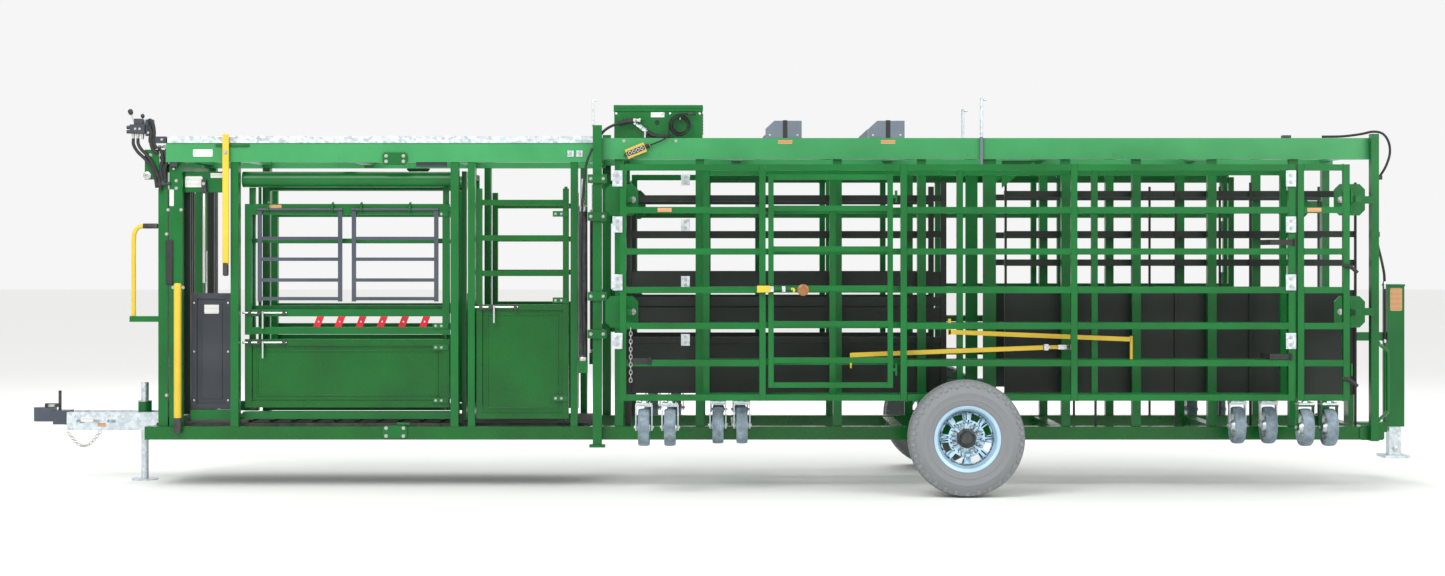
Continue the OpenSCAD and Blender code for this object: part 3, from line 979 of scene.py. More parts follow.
@dataclass
class RoadWheel:
    """Trailer tyre with tread and a pressed eight-window rim."""

    side: Side
    bead: float = 0.206
    centre: Vector = field(default_factory=Vector)

    @property
    def tag(self) -> str:
        """Near or far, for names."""
        return self.side.name.lower()

    def build(self) -> None:
        """Builds tyre, rim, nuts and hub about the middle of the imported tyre."""
        low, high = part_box("tyre_" + self.tag)
        self.centre = (Vector(low) + Vector(high)) / 2
        self.tyre()
        self.rim()
        self.hub()

    def tyre(self) -> None:
        """Carcass lathe with shoulder lugs, rib grooves and side rings."""
        out = self.side.value
        body = "wheel_" + self.tag
        groove = 0.007
        profile = [
            (self.bead, -0.086), (0.222, -0.100), (0.25, -0.110), (0.258, -0.1112), (0.261, -0.1145),
            (0.267, -0.1150), (0.270, -0.1128), (0.30, -0.1155), (0.303, -0.1175), (0.309, -0.1175),
            (0.312, -0.1150), (0.333, -0.1135), (0.337, -0.1100), (0.360, -0.105), (0.377, -0.096)
        ]
        crown = [(0.381, -0.086), (0.3825, -0.060)]
        for y in (-0.052, -0.018, 0.018, 0.052):
            crown += [
                (0.3835, y - 0.006), (0.3835 - groove, y - 0.004), (0.3835 - groove, y + 0.004),
                (0.3835, y + 0.006)
            ]
        crown += [(0.3825, 0.060), (0.381, 0.086)]
        outline = profile + crown + [(r, -z) for r, z in reversed(profile)]
        outline += [(0.200, 0.06), (0.200, -0.06), profile[0]]
        mould = Mould("tyre_casing_" + self.tag, TYRE, body)
        mould.lathe(tuple(self.centre), (0, out, 0), outline, 96)
        casing = mould.make()
        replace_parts(casing, "tyre_" + self.tag)
        blocks = Mould("tyre_tread_" + self.tag, TYRE, body, 0.0015)
        pitches = 60
        for k in range(pitches):
            for row, (y0, y1, shift) in enumerate(
                (
                    (-0.098, -0.060, 0), (-0.044, -0.024, 0.5), (-0.012, 0.012, 0), (0.024, 0.044, 0.5),
                    (0.060, 0.098, 0)
                )
            ):
                angle = math.tau * (k + shift) / pitches
                wide = math.tau / pitches * (0.36 if row in (0, 4) else 0.42)
                points = []
                for r in (0.3775, 0.3895 if row in (1, 2, 3) else 0.3875):
                    for y, lean in ((y0, -0.012), (y1, 0.012)):
                        drop = 0.010 if (row in (0, 4) and abs(y) > 0.09) else 0.0
                        for a in (angle - wide, angle + wide):
                            b = a + lean
                            points.append(
                                (
                                    self.centre.x + (r - drop) * math.cos(b), self.centre.y + y,
                                    self.centre.z + (r - drop) * math.sin(b)
                                )
                            )
                blocks.add(
                    points,
                    [(0, 1, 3, 2), (4, 6, 7, 5), (0, 4, 5, 1), (2, 3, 7, 6), (0, 2, 6, 4), (1, 5, 7, 3)]
                )
            for s in (-1, 1):
                half = math.tau / pitches * (0.30 if k % 2 else 0.22)
                middle = math.tau * k / pitches
                reach = 0.345 if k % 2 else 0.356
                ring = [(reach, 0.1085), (reach + 0.002, 0.1135), (0.374, 0.1065), (0.3785, 0.0985)]
                points = [
                    (
                        self.centre.x + r * math.cos(a), self.centre.y + s * y,
                        self.centre.z + r * math.sin(a)
                    ) for a in (middle - half, middle + half) for r,
                    y in ring
                ]
                blocks.add(points, PRISM_FACES)
        blocks.smooth = False
        blocks.make()

    def rim(self) -> None:
        """Rolled lips and a dished disc with eight windows cut through it."""
        out = self.side.value
        body = "wheel_" + self.tag
        barrel = Mould("rim_barrel_" + self.tag, WHEEL_PAINT, body)
        outline = [
            (0.2215, 0.103), (0.2225, 0.098), (0.214, 0.094), (0.2045, 0.090), (0.203, 0.06), (0.187, 0.03),
            (0.187, -0.03), (0.203, -0.06), (0.2045, -0.090), (0.2225, -0.098), (0.2215, -0.103)
        ]
        outline += [
            (0.210, -0.100), (0.199, -0.092), (0.197, -0.06), (0.182, -0.032), (0.182, 0.032), (0.197, 0.06),
            (0.199, 0.092), (0.210, 0.100), outline[0]
        ]
        barrel.lathe(tuple(self.centre), (0, out, 0), outline, 96)
        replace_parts(barrel.make(), "rim_" + self.tag)
        self.disc(body, out)

    def disc(self, body: str, out: int) -> None:
        """Eight wedges of a pressed disc; each leaves a window in its middle band.

        Args:
            body: the wheel's body.
            out: -1 or 1, which way the wheel's outer face looks.
        """
        mould = Mould("rim_disc_" + self.tag, WHEEL_PAINT, body)
        depth = {
            0.040: 0.030, 0.062: 0.030, 0.066: 0.034, 0.100: 0.034, 0.112: 0.044, 0.125: 0.046, 0.170: 0.038,
            0.176: 0.030, 0.1815: 0.022
        }
        radii = list(depth)
        steps = 96

        def at(radius: float, step: float, lift: float) -> Vector:
            """A point of the disc at a radius and a step round it."""
            angle = math.tau * step / steps
            return self.centre + Vector(
                (radius * math.cos(angle), out * (depth_at(radius) + lift), radius * math.sin(angle))
            )

        def depth_at(radius: float) -> float:
            """How far out the disc stands at the nearest listed radius."""
            near = min(radii, key=lambda r: abs(r - radius))
            return depth[near]

        for inner, outer in zip(radii, radii[1:]):
            for s in range(steps):
                place = (s + 0.5) % 12
                if inner == 0.125 and 2.6 < place < 9.4:
                    continue
                quad = [at(inner, s, 0), at(inner, s + 1, 0), at(outer, s + 1, 0), at(outer, s, 0)]
                mould.add(quad, [(0, 1, 2, 3) if out > 0 else (3, 2, 1, 0)])
        piece = mould.make()
        weld = piece.modifiers.new("join", "WELD")
        weld.merge_threshold = 0.0002
        thick = piece.modifiers.new("plate", "SOLIDIFY")
        thick.thickness, thick.offset = 0.006, 0.0

    def hub(self) -> None:
        """Eight wheel nuts on studs, the dust cap and the valve."""
        out = self.side.value
        body = "wheel_" + self.tag
        nuts = Mould("wheel_nuts_" + self.tag, STEEL, body)
        for k in range(8):
            angle = math.tau * (k + 0.5) / 8
            at = self.centre + Vector((0.08255 * math.cos(angle), out * 0.036, 0.08255 * math.sin(angle)))
            nuts.lathe(
                tuple(at), (0, out, 0), [(0.0155, 0), (0.014, 0.004), (0.0125, 0.018), (0.010, 0.021)], 6
            )
            nuts.lathe(tuple(at), (0, out, 0), [(0.0065, 0.018), (0.0065, 0.030), (0.005, 0.032)], 12)
        nuts.make()
        cap = Mould("hub_cap_" + self.tag, BLACK, body)
        outline = [
            (0.052, 0.020), (0.064, 0.030), (0.064, 0.038), (0.050, 0.044), (0.044, 0.070), (0.036, 0.080),
            (0.020, 0.083), (0.012, 0.083), (0.012, 0.079), (0.002, 0.078)
        ]
        cap.lathe(tuple(self.centre), (0, out, 0), outline, 40).make()
        valve = Mould("tyre_valve_" + self.tag, BLACK, body)
        foot = self.centre + Vector((0.176, out * 0.034, 0))
        valve.rod(tuple(foot), tuple(foot + Vector((-0.006, out * 0.040, 0))), 0.005).make()


@dataclass
class CasterPair:
    """Two cast wheels with rubber bands that turn on one line under a gate."""

    node: str
    body: str
    bearings: Tuple[float, ...]
    pivot_y: Tuple[float, ...] = (-1.0,)
    pivot_z: float = 0.452

    def build(self) -> None:
        """Tyre bands, spoked hubs and axle nuts."""
        band = Mould("caster_bands_" + self.node, CASTER, self.body)
        hub = Mould("caster_hubs_" + self.node, ZINC, self.body)
        nut = Mould("caster_nuts_" + self.node, STEEL, self.body)
        for x, y in zip(self.bearings, self.pivot_y):
            at = (x, y, self.pivot_z)
            outline = [
                (0.096, -0.030), (0.104, -0.036), (0.118, -0.038), (0.1245, -0.030), (0.1268, -0.012),
                (0.1268, 0.012), (0.1245, 0.030), (0.118, 0.038), (0.104, 0.036), (0.096, 0.030),
                (0.096, -0.030)
            ]
            band.lathe(at, (1, 0, 0), outline, 40)
            dish = [
                (0.0965, -0.029), (0.0965, 0.029), (0.090, 0.031), (0.080, 0.026), (0.074, 0.010),
                (0.040, 0.010), (0.034, 0.028), (0.024, 0.044), (0.0125, 0.044), (0.0125, -0.044),
                (0.024, -0.044), (0.034, -0.028), (0.040, -0.010), (0.074, -0.010), (0.080, -0.026),
                (0.090, -0.031), (0.0965, -0.029)
            ]
            hub.lathe(at, (1, 0, 0), dish, 40)
            for k in range(5):
                angle = math.tau * k / 5
                for sx in (-1, 1):
                    spot = (
                        x + sx * 0.010, y + 0.057 * math.cos(angle), self.pivot_z + 0.057 * math.sin(angle)
                    )
                    nut.lathe(spot, (sx, 0, 0), [(0.008, 0), (0.007, 0.006), (0.004, 0.007)], 10)
        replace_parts(band.make(), self.node)
        hub.make()
        nut.make()


@dataclass
class RunningGear:
    """Road wheels, casters and the hardware of their forks."""

    axle_z: float = 0.452
    plate_top: float = 0.6165

    def build(self) -> None:
        """Builds both road wheels and every caster."""
        for side in Side:
            RoadWheel(side).build()
        pairs = (
            ("casters_front", (-0.512, -0.336), -1.0), ("casters_mid", (-0.013, 0.151), -0.8),
            ("casters_rear", (3.537, 3.749), -0.8), ("casters_end", (3.950, 4.110), -1.0)
        )
        for node, xs, y in pairs:
            CasterPair(node, node, xs, pivot_y=(y, y)).build()
        far_x, far_y = [], []
        for _, xs, y in pairs[:3]:
            far_x += xs
            far_y += (-y, -y)
        CasterPair("casters_far", "frame", tuple(far_x), pivot_y=tuple(far_y)).build()
        self.fork_hardware(pairs)

    def fork_hardware(self, pairs: Sequence[Tuple[str, Tuple[float, float], float]]) -> None:
        """Axle bolts on the fork cheeks and the four plate bolts on top.

        Args:
            pairs: node name, both casters' x, and y of each pair.
        """
        for node, xs, y in pairs:
            body = "end_gate_near" if node == "casters_end" else "frame"
            mirror = (1,) if node == "casters_end" else (1, -1)
            bolts = Mould("fork_bolts_" + node, STEEL, body)
            plates = Mould("fork_plates_" + node, ZINC, body, 0.002)
            race = [(0.026, 0), (0.023, 0.008), (0.022, 0.014)]
            for m in mirror:
                for x in xs:
                    for s in (-1, 1):
                        bolts.bolt((x + s * 0.0582, y * m, self.axle_z), (s, 0, 0), 0.012)
                        for t in (-1, 1):
                            bolts.bolt((x + s * 0.040, y * m + t * 0.042, self.plate_top), (0, 0, 1), 0.009)
                    plates.block(
                        (x - 0.055, y * m - 0.056, 0.6045), (x + 0.055, y * m + 0.056, self.plate_top)
                    )
                    plates.lathe((x, y * m, self.plate_top), (0, 0, 1), race, 24)
            bolts.make()
            plates.make()


# ---------------------------------------------------------------- gates and walls


@dataclass
class WeldSet:
    """Fillet welds where the rails of a gate meet its uprights."""

    name: str
    body: str
    uprights: Tuple[float, ...]
    rails: Tuple[float, ...]
    y: float
    tube: float
    skip: Tuple[int, ...] = ()

    def build(self) -> None:
        """One square ring of bead per joint; it covers the fit-up gap."""
        mould = Mould("welds_" + self.name, GREEN, self.body, 0.0)
        half, bead = self.tube / 2, 0.004
        for i in range(len(self.uprights) - 1):
            if i in self.skip:
                continue
            for x, s in ((self.uprights[i] + half, 1), (self.uprights[i + 1] - half, -1)):
                for z in self.rails:
                    self.ring(mould, x, s, z, half, bead)
        mould.make()

    def ring(self, mould: Mould, x: float, s: int, z: float, half: float, bead: float) -> None:
        """A four-sided wedge round one rail end.

        Args:
            mould: what to add to.
            x: face of the upright.
            s: which way the rail runs.
            z: middle of the rail.
            half: half the rail's height.
            bead: leg of the fillet.
        """
        depth = half - 0.002
        rim = [(-1, -1), (1, -1), (1, 1), (-1, 1)]
        points = [(x - s * 0.0004, self.y + a * (depth + bead), z + b * (half + bead)) for a, b in rim]
        points += [
            (x + s * (bead + 0.001), self.y + a * (depth + 0.0003), z + b * (half + 0.0003)) for a, b in rim
        ]
        points += [(x - s * 0.0004, self.y + a * (depth - 0.002), z + b * (half - 0.002)) for a, b in rim]
        faces = []
        for k in range(4):
            n = (k + 1) % 4
            faces += [(k, n, 4 + n, 4 + k), (8 + k, 8 + n, n, k), (4 + k, 4 + n, 8 + n, 8 + k)]
        mould.add(points, faces)


@dataclass
class GateHardware:
    """Welds, hinge tabs, plate bolts, latches, chains and straps of the stowed gates."""

    rails: Tuple[float, ...] = (0.652, 0.885, 1.135, 1.378, 1.638, 1.918, 2.205)
    tab_heights: Tuple[float, ...] = (1.035, 1.430, 1.820, 2.130)
    inner_tab_x: float = -0.235
    outer_y: float = 1.0
    inner_y: float = 0.8
    tube: float = 0.042

    def build(self) -> None:
        """Builds every group."""
        inner = self.rails[:-1] + (2.180,)
        posts = (-0.653, 0.288, 1.240, 2.390, 3.856)
        WeldSet("long_near", "frame", posts, self.rails, -self.outer_y, self.tube, (1,)).build()
        WeldSet("long_far", "frame", posts, self.rails, self.outer_y, self.tube).build()
        for tag, y in (("near", -self.inner_y), ("far", self.inner_y)):
            WeldSet(
                "inner_" + tag, "frame", (-0.092, 0.770, 1.640, 2.560, 3.850), inner, y, self.tube
            ).build()
        WeldSet(
            "walk", "walk_gate_near", (0.345, 1.150), (0.737, 0.905, 1.150, 1.390, 1.655, 1.930, 2.140), -1.0,
            0.036
        ).build()
        WeldSet("end", "end_gate_near", (3.918, 4.226), self.rails, -self.outer_y, self.tube).build()
        self.plates()
        self.tabs()
        self.walk_latch()
        self.chain()
        self.straps()
        self.stays()

    def plates(self) -> None:
        """Two bolts and a ring pin on each chamfered hinge plate, both sides."""
        bolts = Mould("hinge_plate_bolts", STEEL, "frame")
        eyes = Mould("hinge_plate_eyes", GREEN, "frame", 0.002)
        for side in SIDES:
            for z in (1.225, 1.993):
                for x in (-0.596, 4.252):
                    bolts.bolt((x, side * 0.7722, z), (0, side, 0), 0.019)
                for x in (-0.672, 4.315):
                    eyes.rod((x, side * 0.790, z - 0.08), (x, side * 0.790, z + 0.08), 0.016)
                    eyes.block(
                        (x - 0.012, side * 0.790 - 0.018, z - 0.02),
                        (x + 0.012, side * 0.790 + 0.018, z + 0.02)
                    )
        bolts.make()
        eyes.make()

    def tabs(self) -> None:
        """Galvanised two-bolt hinge tabs down the gate ends."""
        bolts = Mould("hinge_tab_bolts", STEEL, "frame")
        tabs = Mould("hinge_tabs", ZINC, "frame", 0.0015)
        for side in SIDES:
            for z in self.tab_heights:
                for x in (-0.690, 3.848):
                    for dz in (-0.024, 0.024):
                        bolts.bolt((x, side * 1.0355, z + dz), (0, side, 0), 0.011)
                    low, high = sorted((side * 1.0225, side * 1.0355))
                    tabs.block((x - 0.034, low, z - 0.054), (x + 0.034, high, z + 0.054))
        for z in self.tab_heights:
            x = self.inner_tab_x
            tabs.block((x - 0.03, -0.832, z - 0.04), (x + 0.03, -0.824, z + 0.04))
            for dz in (-0.020, 0.020):
                bolts.bolt((x, -0.832, z + dz), (0, -1, 0), 0.010)
        bolts.make()
        tabs.make()

    def walk_latch(self) -> None:
        """Yellow slam bar in its keeper, the amber reflector and gate pins."""
        keeper = Mould("walk_latch_keeper", ZINC, "walk_gate_near", 0.0015)
        for x in (0.350, 0.430):
            keeper.block((x - 0.012, -1.052, 1.366), (x + 0.012, -1.019, 1.404))
        keeper.make()
        grip = Mould("walk_latch_grip", YELLOW, "walk_gate_near", 0.003)
        grip.block((0.250, -1.058, 1.362), (0.340, -1.047, 1.408))
        grip.sweep(
            [(0.475, -1.036, 1.385), (0.492, -1.045, 1.385), (0.498, -1.062, 1.380), (0.498, -1.075, 1.366)],
            0.009
        )
        grip.make()
        glass = Mould("walk_gate_reflector", AMBER, "walk_gate_near")
        glass.lathe(
            (0.562, -1.0175, 1.378), (0, -1, 0),
            [(0.040, 0), (0.040, 0.004), (0.036, 0.008), (0.020, 0.010), (0.004, 0.0105)], 32
        )
        glass.make()
        loops = Mould("walk_gate_loops", GREEN, "walk_gate_near")
        for z in (0.840, 2.010):
            loops.block((1.168, -1.014, z - 0.010), (1.190, -0.986, z + 0.010))
        loops.make()

    def chain(self) -> None:
        """Hanging lock chain beside the mast: links 32 mm long, turned by quarter turns."""
        links = Mould("lock_chain", STEEL, "frame")
        x, y, top = -0.600, -1.034, 1.110
        for k in range(14):
            z = top - k * 0.026
            ring = []
            for s in range(12):
                a = math.tau * s / 12
                across, along = 0.0095 * math.cos(a), 0.016 * math.sin(a)
                ring.append((x + (across if k % 2 else 0), y + (0 if k % 2 else across), z + along))
            ring.append(ring[0])
            links.sweep(ring, 0.0032, 6)
        links.make()

    def straps(self) -> None:
        """Black rubber straps that hold the folded gates."""
        strap = Mould("gate_straps", STRAP, "frame", 0.0015)
        for x0, x1, z in ((3.70, 3.885, 1.700), (3.70, 3.86, 0.930), (-0.62, -0.46, 0.90)):
            strap.block((x0, -1.030, z - 0.018), (x1, -1.0235, z + 0.018))
            strap.block((x0, -1.030, z - 0.018), (x0 + 0.006, -0.779, z + 0.018))
            strap.rod((x1 - 0.012, -1.036, z - 0.026), (x1 - 0.012, -1.036, z + 0.026), 0.007)
        strap.make()
        curl = Mould("end_gate_straps", STRAP, "end_gate_near", 0.0)
        for z in (1.545, 0.780):
            curl.sweep(
                [
                    (4.195, -1.024, z), (4.235, -1.030, z - 0.006), (4.262, -1.042, z - 0.022),
                    (4.292, -1.045, z - 0.05)
                ],
                0.013, 8
            )
        curl.make()

    def stays(self) -> None:
        """Chrome clevis and end brackets of the stowed yellow stay bars."""
        clevis = Mould("stay_clevis", CHROME, "frame", 0.002)
        clevis.block((2.205, -0.894, 0.966), (2.235, -0.866, 1.008))
        clevis.block((2.300, -0.899, 0.972), (2.395, -0.891, 1.004))
        clevis.rod((2.345, -0.915, 0.988), (2.345, -0.850, 0.988), 0.010)
        clevis.bolt((2.235, -0.895, 0.988), (0, -1, 0), 0.010)
        clevis.make()
        foot = Mould("stay_feet", YELLOW, "frame", 0.002)
        foot.block((0.885, -0.895, 0.845), (0.897, -0.865, 0.948))
        foot.block((2.795, -0.862, 0.905), (2.812, -0.838, 1.062))
        foot.block((1.555, -0.862, 1.070), (1.575, -0.838, 1.180))
        foot.make()


@dataclass
class ChuteSides:
    """Latches, tabs, bolts and folded sheet edges on the doors of the squeeze bay."""

    def build(self) -> None:
        """Builds the door hardware."""
        self.latches()
        self.release_tabs()
        self.grid_hooks()
        self.door_edges()
        self.door_bolts()

    def latches(self) -> None:
        """Spring latch bars with T handles on the access gate, kick door and rear side door."""
        for name, body, x, y, z in (
            ("access", "access_gate_near", -3.32, -0.497, 1.211),
            ("kick", "kick_door_near", -3.32, -0.497, 1.004),
            ("rear_door", "palpation_door_near", -1.700, -0.578, 1.253),
        ):
            bar = Mould("latch_bar_" + name, CHROME, body)
            bar.rod((x - 0.010, y, z), (x + 0.300, y, z), 0.0075)
            bar.rod((x + 0.135, y, z), (x + 0.135, y - 0.018, z), 0.008)
            bar.rod((x + 0.135, y - 0.018, z + 0.012), (x + 0.135, y - 0.018, z - 0.110), 0.0085)
            bar.make()
            guide = Mould("latch_guides_" + name, BLACK, body, 0.002)
            for dx in (0.03, 0.095, 0.27):
                guide.block((x + dx, y - 0.012, z - 0.016), (x + dx + 0.024, y + 0.009, z + 0.016))
            guide.lathe((x + 0.122, y, z), (1, 0, 0), [(0.012, -0.026), (0.0125, 0), (0.012, 0.020)], 16)
            guide.make()

    def release_tabs(self) -> None:
        """Six red slanted quick-release flags between the mid rails."""
        tabs = Mould("release_flags", RED, "access_gate_near", 0.0015)
        for k in range(6):
            x = -2.800 + k * 0.148
            points = [
                (x - 0.038, -0.4925, 1.112), (x + 0.012, -0.4925, 1.112), (x + 0.040, -0.4925, 1.186),
                (x - 0.010, -0.4925, 1.186)
            ]
            points += [(px, -0.4885, pz) for px, _, pz in points]
            tabs.add(points, PRISM_FACES)
        tabs.make()
        knobs = Mould("release_flag_rivets", STEEL, "access_gate_near")
        for k in range(6):
            knobs.lathe(
                (-2.799 + k * 0.148, -0.4925, 1.149), (0, -1, 0),
                [(0.007, 0), (0.006, 0.003), (0.002, 0.004)], 12
            )
        knobs.make()

    def grid_hooks(self) -> None:
        """Hooks that carry the two drop grids over the top rail."""
        for tag, xs in (("front", (-3.15, -2.70)), ("rear", (-2.50, -2.16))):
            hooks = Mould("grid_hooks_" + tag, GREEN, "access_gate_near", 0.002)
            for x in xs:
                line = [
                    (x, -0.500, 1.918), (x, -0.516, 1.928), (x, -0.512, 1.952), (x, -0.496, 1.972),
                    (x, -0.470, 1.980)
                ]
                hooks.sweep(line, 0.008, 8)
            hooks.make()

    def door_edges(self) -> None:
        """Pressed stiffening frames on the sheeted doors."""
        for name, body, low, high, y, finish in (
            ("kick", "kick_door_near", (-3.235, 0.628), (-1.967, 0.950), -0.4685, SHADED_LOWER_GREEN),
            ("rear_near", "palpation_door_near", (-1.620, 0.545), (-1.120, 1.205), -0.5535, SHADED_LOWER_GREEN),
            ("rear_far", "palpation_door_far", (-1.620, 0.545), (-1.120, 1.205), 0.5535, SHADED_LOWER_GREEN),
            ("neck", "neck_door", (-3.630, 0.610), (-3.475, 1.280), -0.4635, CHARCOAL),
        ):
            press = Mould("sheet_press_" + name, finish, body, 0.0015)
            s = -1 if y < 0 else 1
            front, back = sorted((y, y + s * 0.004))
            (x0, z0), (x1, z1) = low, high
            for a, b, c, d in (
                (x0, z0, x1, z0 + 0.012), (x0, z1 - 0.012, x1, z1), (x0, z0 + 0.012, x0 + 0.012, z1 - 0.012),
                (x1 - 0.012, z0 + 0.012, x1, z1 - 0.012)
            ):
                press.block((a, front, b), (c, back, d))
            press.make()

    def door_bolts(self) -> None:
        """Hinge straps and bolts at the rear uprights."""
        for name, body, x, y, zs in (
            ("access", "access_gate_near", -1.912, -0.489, (1.12, 1.90)),
            ("kick", "kick_door_near", -1.912, -0.489, (0.60, 0.97)),
            ("rear_door", "palpation_door_near", -1.070, -0.570, (0.62, 1.30, 1.90)),
        ):
            strap = Mould("hinge_straps_" + name, GREEN, body, 0.0015)
            bolts = Mould("hinge_bolts_" + name, STEEL, body)
            for z in zs:
                strap.block((x - 0.090, y - 0.0065, z - 0.020), (x + 0.018, y - 0.0005, z + 0.020))
                for dx in (-0.070, -0.030):
                    bolts.bolt((x + dx, y - 0.0065, z), (0, -1, 0), 0.008)
            strap.make()
            bolts.make()


# ---------------------------------------------------------------- levers


@dataclass
class Levers:
    """The three long yellow hand levers with their rubber grips."""

    def build(self) -> None:
        """Replaces the plain packed levers with bent bar and moulded grips."""
        self.head()
        self.squeeze()
        self.neck()

    def head(self) -> None:
        """Upright bar bent over at the top to a level grip with finger waves."""
        bar = Mould("head_lever_bar", YELLOW, "headgate_lever")
        bar.sweep(
            [
                (-4.078, -0.530, 1.150), (-4.078, -0.530, 1.400), (-4.078, -0.530, 1.700),
                (-4.071, -0.530, 1.772), (-4.045, -0.530, 1.807), (-4.006, -0.530, 1.816)
            ],
            0.0158, 16
        )
        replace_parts(bar.make(), "headgate_lever")
        grip = Mould("head_lever_grip", BLACK, "headgate_lever")
        rings = [(0.0160, 0.0)]
        for k in range(9):
            rings += [
                (0.0186, 0.003 + k * 0.0105), (0.0190, 0.006 + k * 0.0105), (0.0170, 0.0105 + k * 0.0105)
            ]
        rings += [(0.0180, 0.101), (0.012, 0.104), (0.003, 0.1055)]
        grip.lathe((-4.012, -0.530, 1.816), (1, 0, 0), rings, 24).make()
        bolt = Mould("head_lever_bolt", STEEL, "headgate_lever")
        bolt.bolt((-4.078, -0.5145, 1.170), (0, 1, 0), 0.009)
        bolt.bolt((-4.078, -0.5455, 1.170), (0, -1, 0), 0.012)
        bolt.make()

    def squeeze(self) -> None:
        """Long flat bar with a thin cross rod near the top and a grip at the bottom."""
        bar = Mould("squeeze_lever_bar", YELLOW, "squeeze_lever", 0.005)
        bar.block((-3.438, -0.642, 1.545), (-3.394, -0.622, 2.451))
        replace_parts(bar.make(), "squeeze_lever")
        cross = Mould("squeeze_lever_cross", STEEL, "squeeze_lever")
        cross.rod((-3.484, -0.632, 2.432), (-3.348, -0.632, 2.432), 0.005).make()
        grip = Mould("squeeze_lever_grip", BLACK, "squeeze_lever")
        outline = [(0.0150, 0), (0.0205, 0.003)]
        for k in range(8):
            outline += [(0.0208, 0.006 + k * 0.0095), (0.0193, 0.011 + k * 0.0095)]
        grip.lathe(
            (-3.416, -0.632, 1.560), (0, 0, -1), outline + [(0.0200, 0.084), (0.013, 0.090), (0.002, 0.091)],
            24
        ).make()
        bolt = Mould("squeeze_lever_bolt", STEEL, "squeeze_lever")
        bolt.bolt((-3.416, -0.6422, 2.324), (0, -1, 0), 0.012)
        bolt.rod((-3.416, -0.624, 2.324), (-3.416, -0.6105, 2.324), 0.0145).make()

    def neck(self) -> None:
        """Round bar on a bolted pivot with a long grip."""
        bar = Mould("neck_lever_bar", YELLOW, "neck_lever")
        bar.lathe(
            (-3.748, -0.634, 0.480), (0, 0, 1),
            [(0.024, 0), (0.026, 0.003), (0.026, 0.925), (0.024, 0.934), (0.017, 0.940)], 32
        )
        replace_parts(bar.make(), "neck_lever")
        pin = Mould("neck_lever_pin", STEEL, "neck_lever")
        pin.rod((-3.748, -0.610, 1.385), (-3.748, -0.5615, 1.385), 0.0118)
        for dx in (-0.034, 0.034):
            pin.bolt((-3.748 + dx, -0.622, 1.390), (0, -1, 0), 0.010)
        pin.rod((-3.790, -0.616, 1.390), (-3.706, -0.616, 1.390), 0.007)
        pin.make()
        grip = Mould("neck_lever_grip", BLACK, "neck_lever")
        outline = [(0.0255, 0), (0.0280, 0.003)]
        for k in range(9):
            outline += [(0.0280, 0.007 + k * 0.0105), (0.0266, 0.012 + k * 0.0105)]
        grip.lathe(
            (-3.748, -0.634, 0.490), (0, 0, -1), outline + [(0.0275, 0.103), (0.019, 0.108), (0.003, 0.109)],
            28
        ).make()


# ---------------------------------------------------------------- head end


